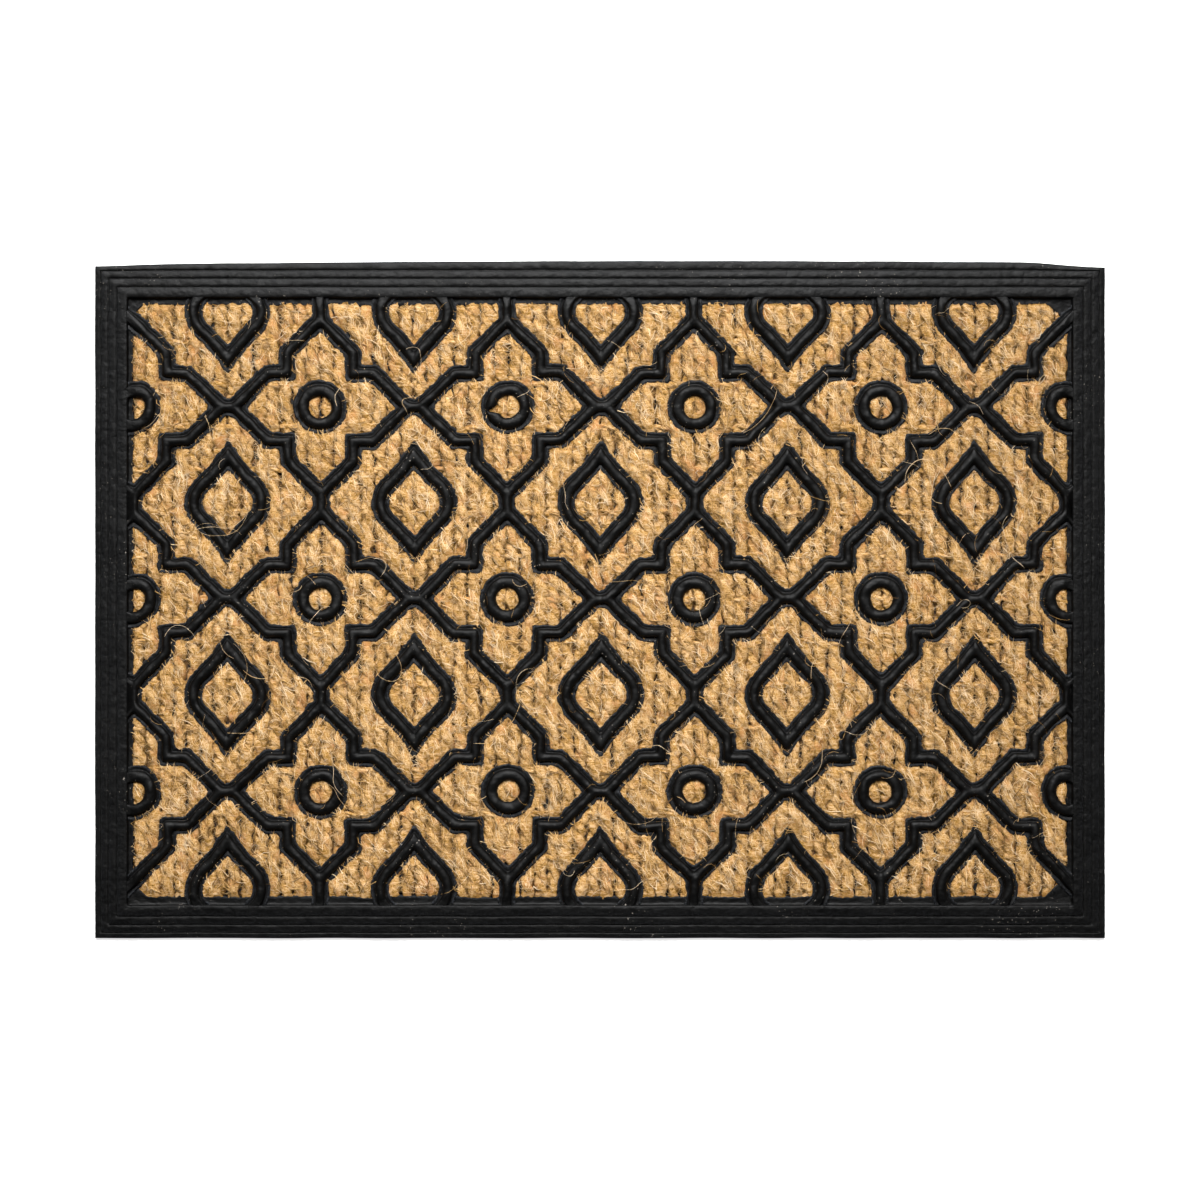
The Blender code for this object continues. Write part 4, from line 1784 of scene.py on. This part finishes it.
        for _ in range(3):
            middle = (chain[:, :-2, 2] + chain[:, 2:, 2]) / 2 - kind.bridge
            chain[:, 1:-1, 2] = np.maximum(chain[:, 1:-1, 2], middle)
        tint += self.patch.at(*chain[:, 0, :2].T)
        # Painted shade and light: fibres lying low are darkened and those lying high are paled.
        tint += (chain[:, :, 2].mean(axis=1) - self.painted_shade_height) * self.painted_shade_rate
        tint = np.clip(tint, 0.0, 1.0)
        chain[:, :, 2] += width[:, None] * self.seat
        inside = layout.edge_room(chain[:, :, 0].ravel(), chain[:, :, 1].ravel())
        held = inside.reshape(count, -1).min(axis=1) > -kind.spill
        return chain[held], width[held], tint[held]

    def build_fibres(self, material: bpy.types.Material, yarns: Surface, rubber: Surface
                     ) -> list[bpy.types.Object]:
        """Build the fibres that lie on the yarns.

        Args:
            material: Their material.
            yarns: Top of the yarns.
            rubber: Top of the ribs and the border.

        Returns:
            The pieces.
        """
        rng = np.random.default_rng(SEED + 3)
        tree = FibreTree("fibre_tubes", material)
        chains, widths, tints = self.lay(self.laid, yarns, rubber, rng)
        pieces = []
        for number, part in enumerate(np.array_split(np.arange(len(chains)), 4)):
            pieces.append(tree.spin(f"laid_fibres_{number + 1}", chains[part], widths[part],
                                    tints[part]))
        for name, kind in (("tangle", self.tangle), ("over", self.over), ("strays", self.strays)):
            pieces.append(tree.spin(f"coir_{name}", *self.lay(kind, yarns, rubber, rng)))
        return pieces

    def build_ground(self, material: bpy.types.Material) -> bpy.types.Object:
        """Build the ground cloth that the yarns are woven into.

        Args:
            material: Its material.

        Returns:
            The piece, a closed sheet.
        """
        low, high = self.layout.coir_low, self.layout.coir_high
        grid_x, grid_y = np.meshgrid(*map(np.linspace, low, high, self.ground_points))
        wave = self.ground_wave * np.sin(grid_x / 2.5) * np.sin(grid_y / 8.0)
        floor = self.layout.seat + 0.05
        points = np.vstack([np.column_stack([grid_x.ravel(), grid_y.ravel(), z.ravel()])
                            for z in (floor + self.ground_thickness + wave,
                                      np.full_like(wave, floor))])
        index = np.arange(grid_x.size).reshape(grid_x.shape)
        top = np.stack([index[:-1, :-1], index[:-1, 1:], index[1:, 1:], index[1:, :-1]], axis=-1)
        bottom = top[..., ::-1] + grid_x.size
        rim = np.concatenate([index[0, :], index[1:, -1], index[-1, -2::-1], index[-2:0:-1, 0]])
        after = np.roll(rim, -1)
        sides = np.stack([rim, rim + grid_x.size, after + grid_x.size, after], axis=-1)
        faces = np.vstack([top.reshape(-1, 4), bottom.reshape(-1, 4), sides])
        return mesh_object("coir_ground", points, faces, material)


# ---------------------------------------------------------------------------------------------
# Studio
# ---------------------------------------------------------------------------------------------

@dataclass(frozen=True)
class Lamp:
    """Square lamp that faces the point it is aimed at; metres and watts."""

    name: str
    place: tuple[float, float, float]
    size: float
    power: float
    spread: float = 180.0
    aim: tuple[float, float, float] = (-0.03, 0.0, 0.0)

    def build(self) -> None:
        """Add the lamp."""
        lamp = bpy.data.lights.new(self.name, "AREA")
        lamp.shape = "SQUARE"
        lamp.size = self.size
        lamp.energy = self.power
        lamp.spread = math.radians(self.spread)
        holder = bpy.data.objects.new(self.name, lamp)
        holder.location = self.place
        way = Vector(self.place) - Vector(self.aim)
        holder.rotation_euler = way.to_track_quat("Z", "Y").to_euler()
        bpy.context.scene.collection.objects.link(holder)


@dataclass(frozen=True)
class Studio:
    """Pale floor and walls, a dark ceiling, soft lamps and the camera above the mat."""

    lens: float = 85.0
    sensor: float = 36.0
    frame_share: float = 0.8435
    rise: float = 0.0009
    walls: float = 0.20
    ceiling: float = 0.03
    dimming: tuple[float, float] = (0.12, 0.5)
    glow: float = 0.72
    floor_half: float = 3000.0
    lamps: tuple[Lamp, ...] = (
        Lamp("rear_softbox", (-0.06, 0.95, 1.12), 1.05, 12.8, 58.0),
        Lamp("front_softbox", (0.1, -1.5, 0.9), 0.8, 0.6),
    )

    def build(self, layout: Layout) -> None:
        """Build the studio.

        Args:
            layout: Layout of the mat.
        """
        scene = bpy.context.scene
        self.add_floor()
        for lamp in self.lamps:
            lamp.build()
        self.add_room()
        scene.view_settings.view_transform = "Standard"
        camera = bpy.data.cameras.new("camera")
        camera.lens = self.lens
        camera.sensor_width = self.sensor
        width = 2 * layout.half_x * MM / self.frame_share
        distance = width * self.lens / self.sensor
        holder = bpy.data.objects.new("camera", camera)
        holder.location = (0.0, self.rise, distance + layout.coir_top * MM)
        scene.collection.objects.link(holder)
        scene.camera = holder

    def add_room(self) -> None:
        """Add the room: pale near the floor and dark overhead."""
        world = bpy.data.worlds.new("studio")
        world.use_nodes = True
        graph = Graph(world.node_tree)
        way = graph.node("ShaderNodeTexCoord")["Generated"]
        up = graph.node("ShaderNodeSeparateXYZ", None, {"Vector": way})["Z"]
        dim = up.ramp(*self.dimming)
        background = world.node_tree.nodes["Background"]
        background.inputs["Color"].default_value = (1.0, 1.0, 1.0, 1.0)
        graph.feed(background.inputs["Strength"],
                   self.walls + dim * (self.ceiling - self.walls))
        bpy.context.scene.world = world

    def add_floor(self) -> None:
        """Add the floor."""
        graph, shader = start_material("pale_floor", roughness=0.85, specular=0.2)
        tone = graph.noise(object_position(graph), 3.0) * 0.01 + 0.9
        colour = graph.node("ShaderNodeCombineColor", None,
                            {"Red": tone, "Green": tone, "Blue": tone})
        graph.feed(shader.inputs["Base Color"], colour["Color"])
        shader.inputs["Emission Color"].default_value = (1.0, 1.0, 1.0, 1.0)
        shader.inputs["Emission Strength"].default_value = self.glow
        corners = np.array([(-1, -1, 0), (1, -1, 0), (1, 1, 0), (-1, 1, 0)]) * self.floor_half
        floor = mesh_object("floor", corners, np.array([[0, 1, 2, 3]]),
                            bpy.data.materials["pale_floor"])


# ---------------------------------------------------------------------------------------------
# Assembly
# ---------------------------------------------------------------------------------------------

def attach(piece: bpy.types.Object, nodes: list[str]) -> None:
    """Let a piece ride on the mat and stand for CAD nodes.

    Args:
        piece: The piece.
        nodes: The nodes that it stands for.
    """
    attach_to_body(piece, ROOT_BODY)
    if nodes:
        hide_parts(*nodes)
    sides = np.empty(len(piece.data.polygons), dtype=np.int32)
    piece.data.polygons.foreach_get("loop_total", sides)
    log.info("%s: %d triangles, replaces %d nodes", piece.name, (sides - 2).sum(), len(nodes))


def main() -> None:
    """Build the mat and its studio."""
    logging.basicConfig(level=logging.INFO, format="%(message)s")
    layout = Layout.from_frame()
    lie = Lie(layout)
    Studio().build(layout)
    rubber = RubberFinish().build()

    border = Border(layout, lie)
    backing, frame_piece = border.build_backing(rubber), border.build_border(rubber)
    ribs = Ribs(layout).build(rubber)

    coir = Coir(layout)
    ground = coir.build_ground(GroundFinish().build())
    pieces = coir.build_yarns(CoirFinish("coir_weft", Grain.ALONG_WEFT).build(),
                              CoirFinish("coir_warp", Grain.ALONG_WARP).build())
    yarns = Surface(pieces)
    for piece in pieces:
        piece.data.attributes.remove(piece.data.attributes["heading"])
    rubber_top = Surface([*ribs.values(), frame_piece])
    pieces += coir.build_fibres(FibreFinish().build(), yarns, rubber_top)
    for piece in [*ribs.values(), ground, *pieces]:
        lie.settle_inlay(piece)

    attach(backing, ["backing_sheet"])
    attach(frame_piece, ["border_frame"])
    for kind, piece in ribs.items():
        attach(piece, [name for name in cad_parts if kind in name.split("_")])
    attach(ground, ["coir_mat"])
    for piece in pieces:
        attach(piece, [])


if __name__ == "__main__":
    main()
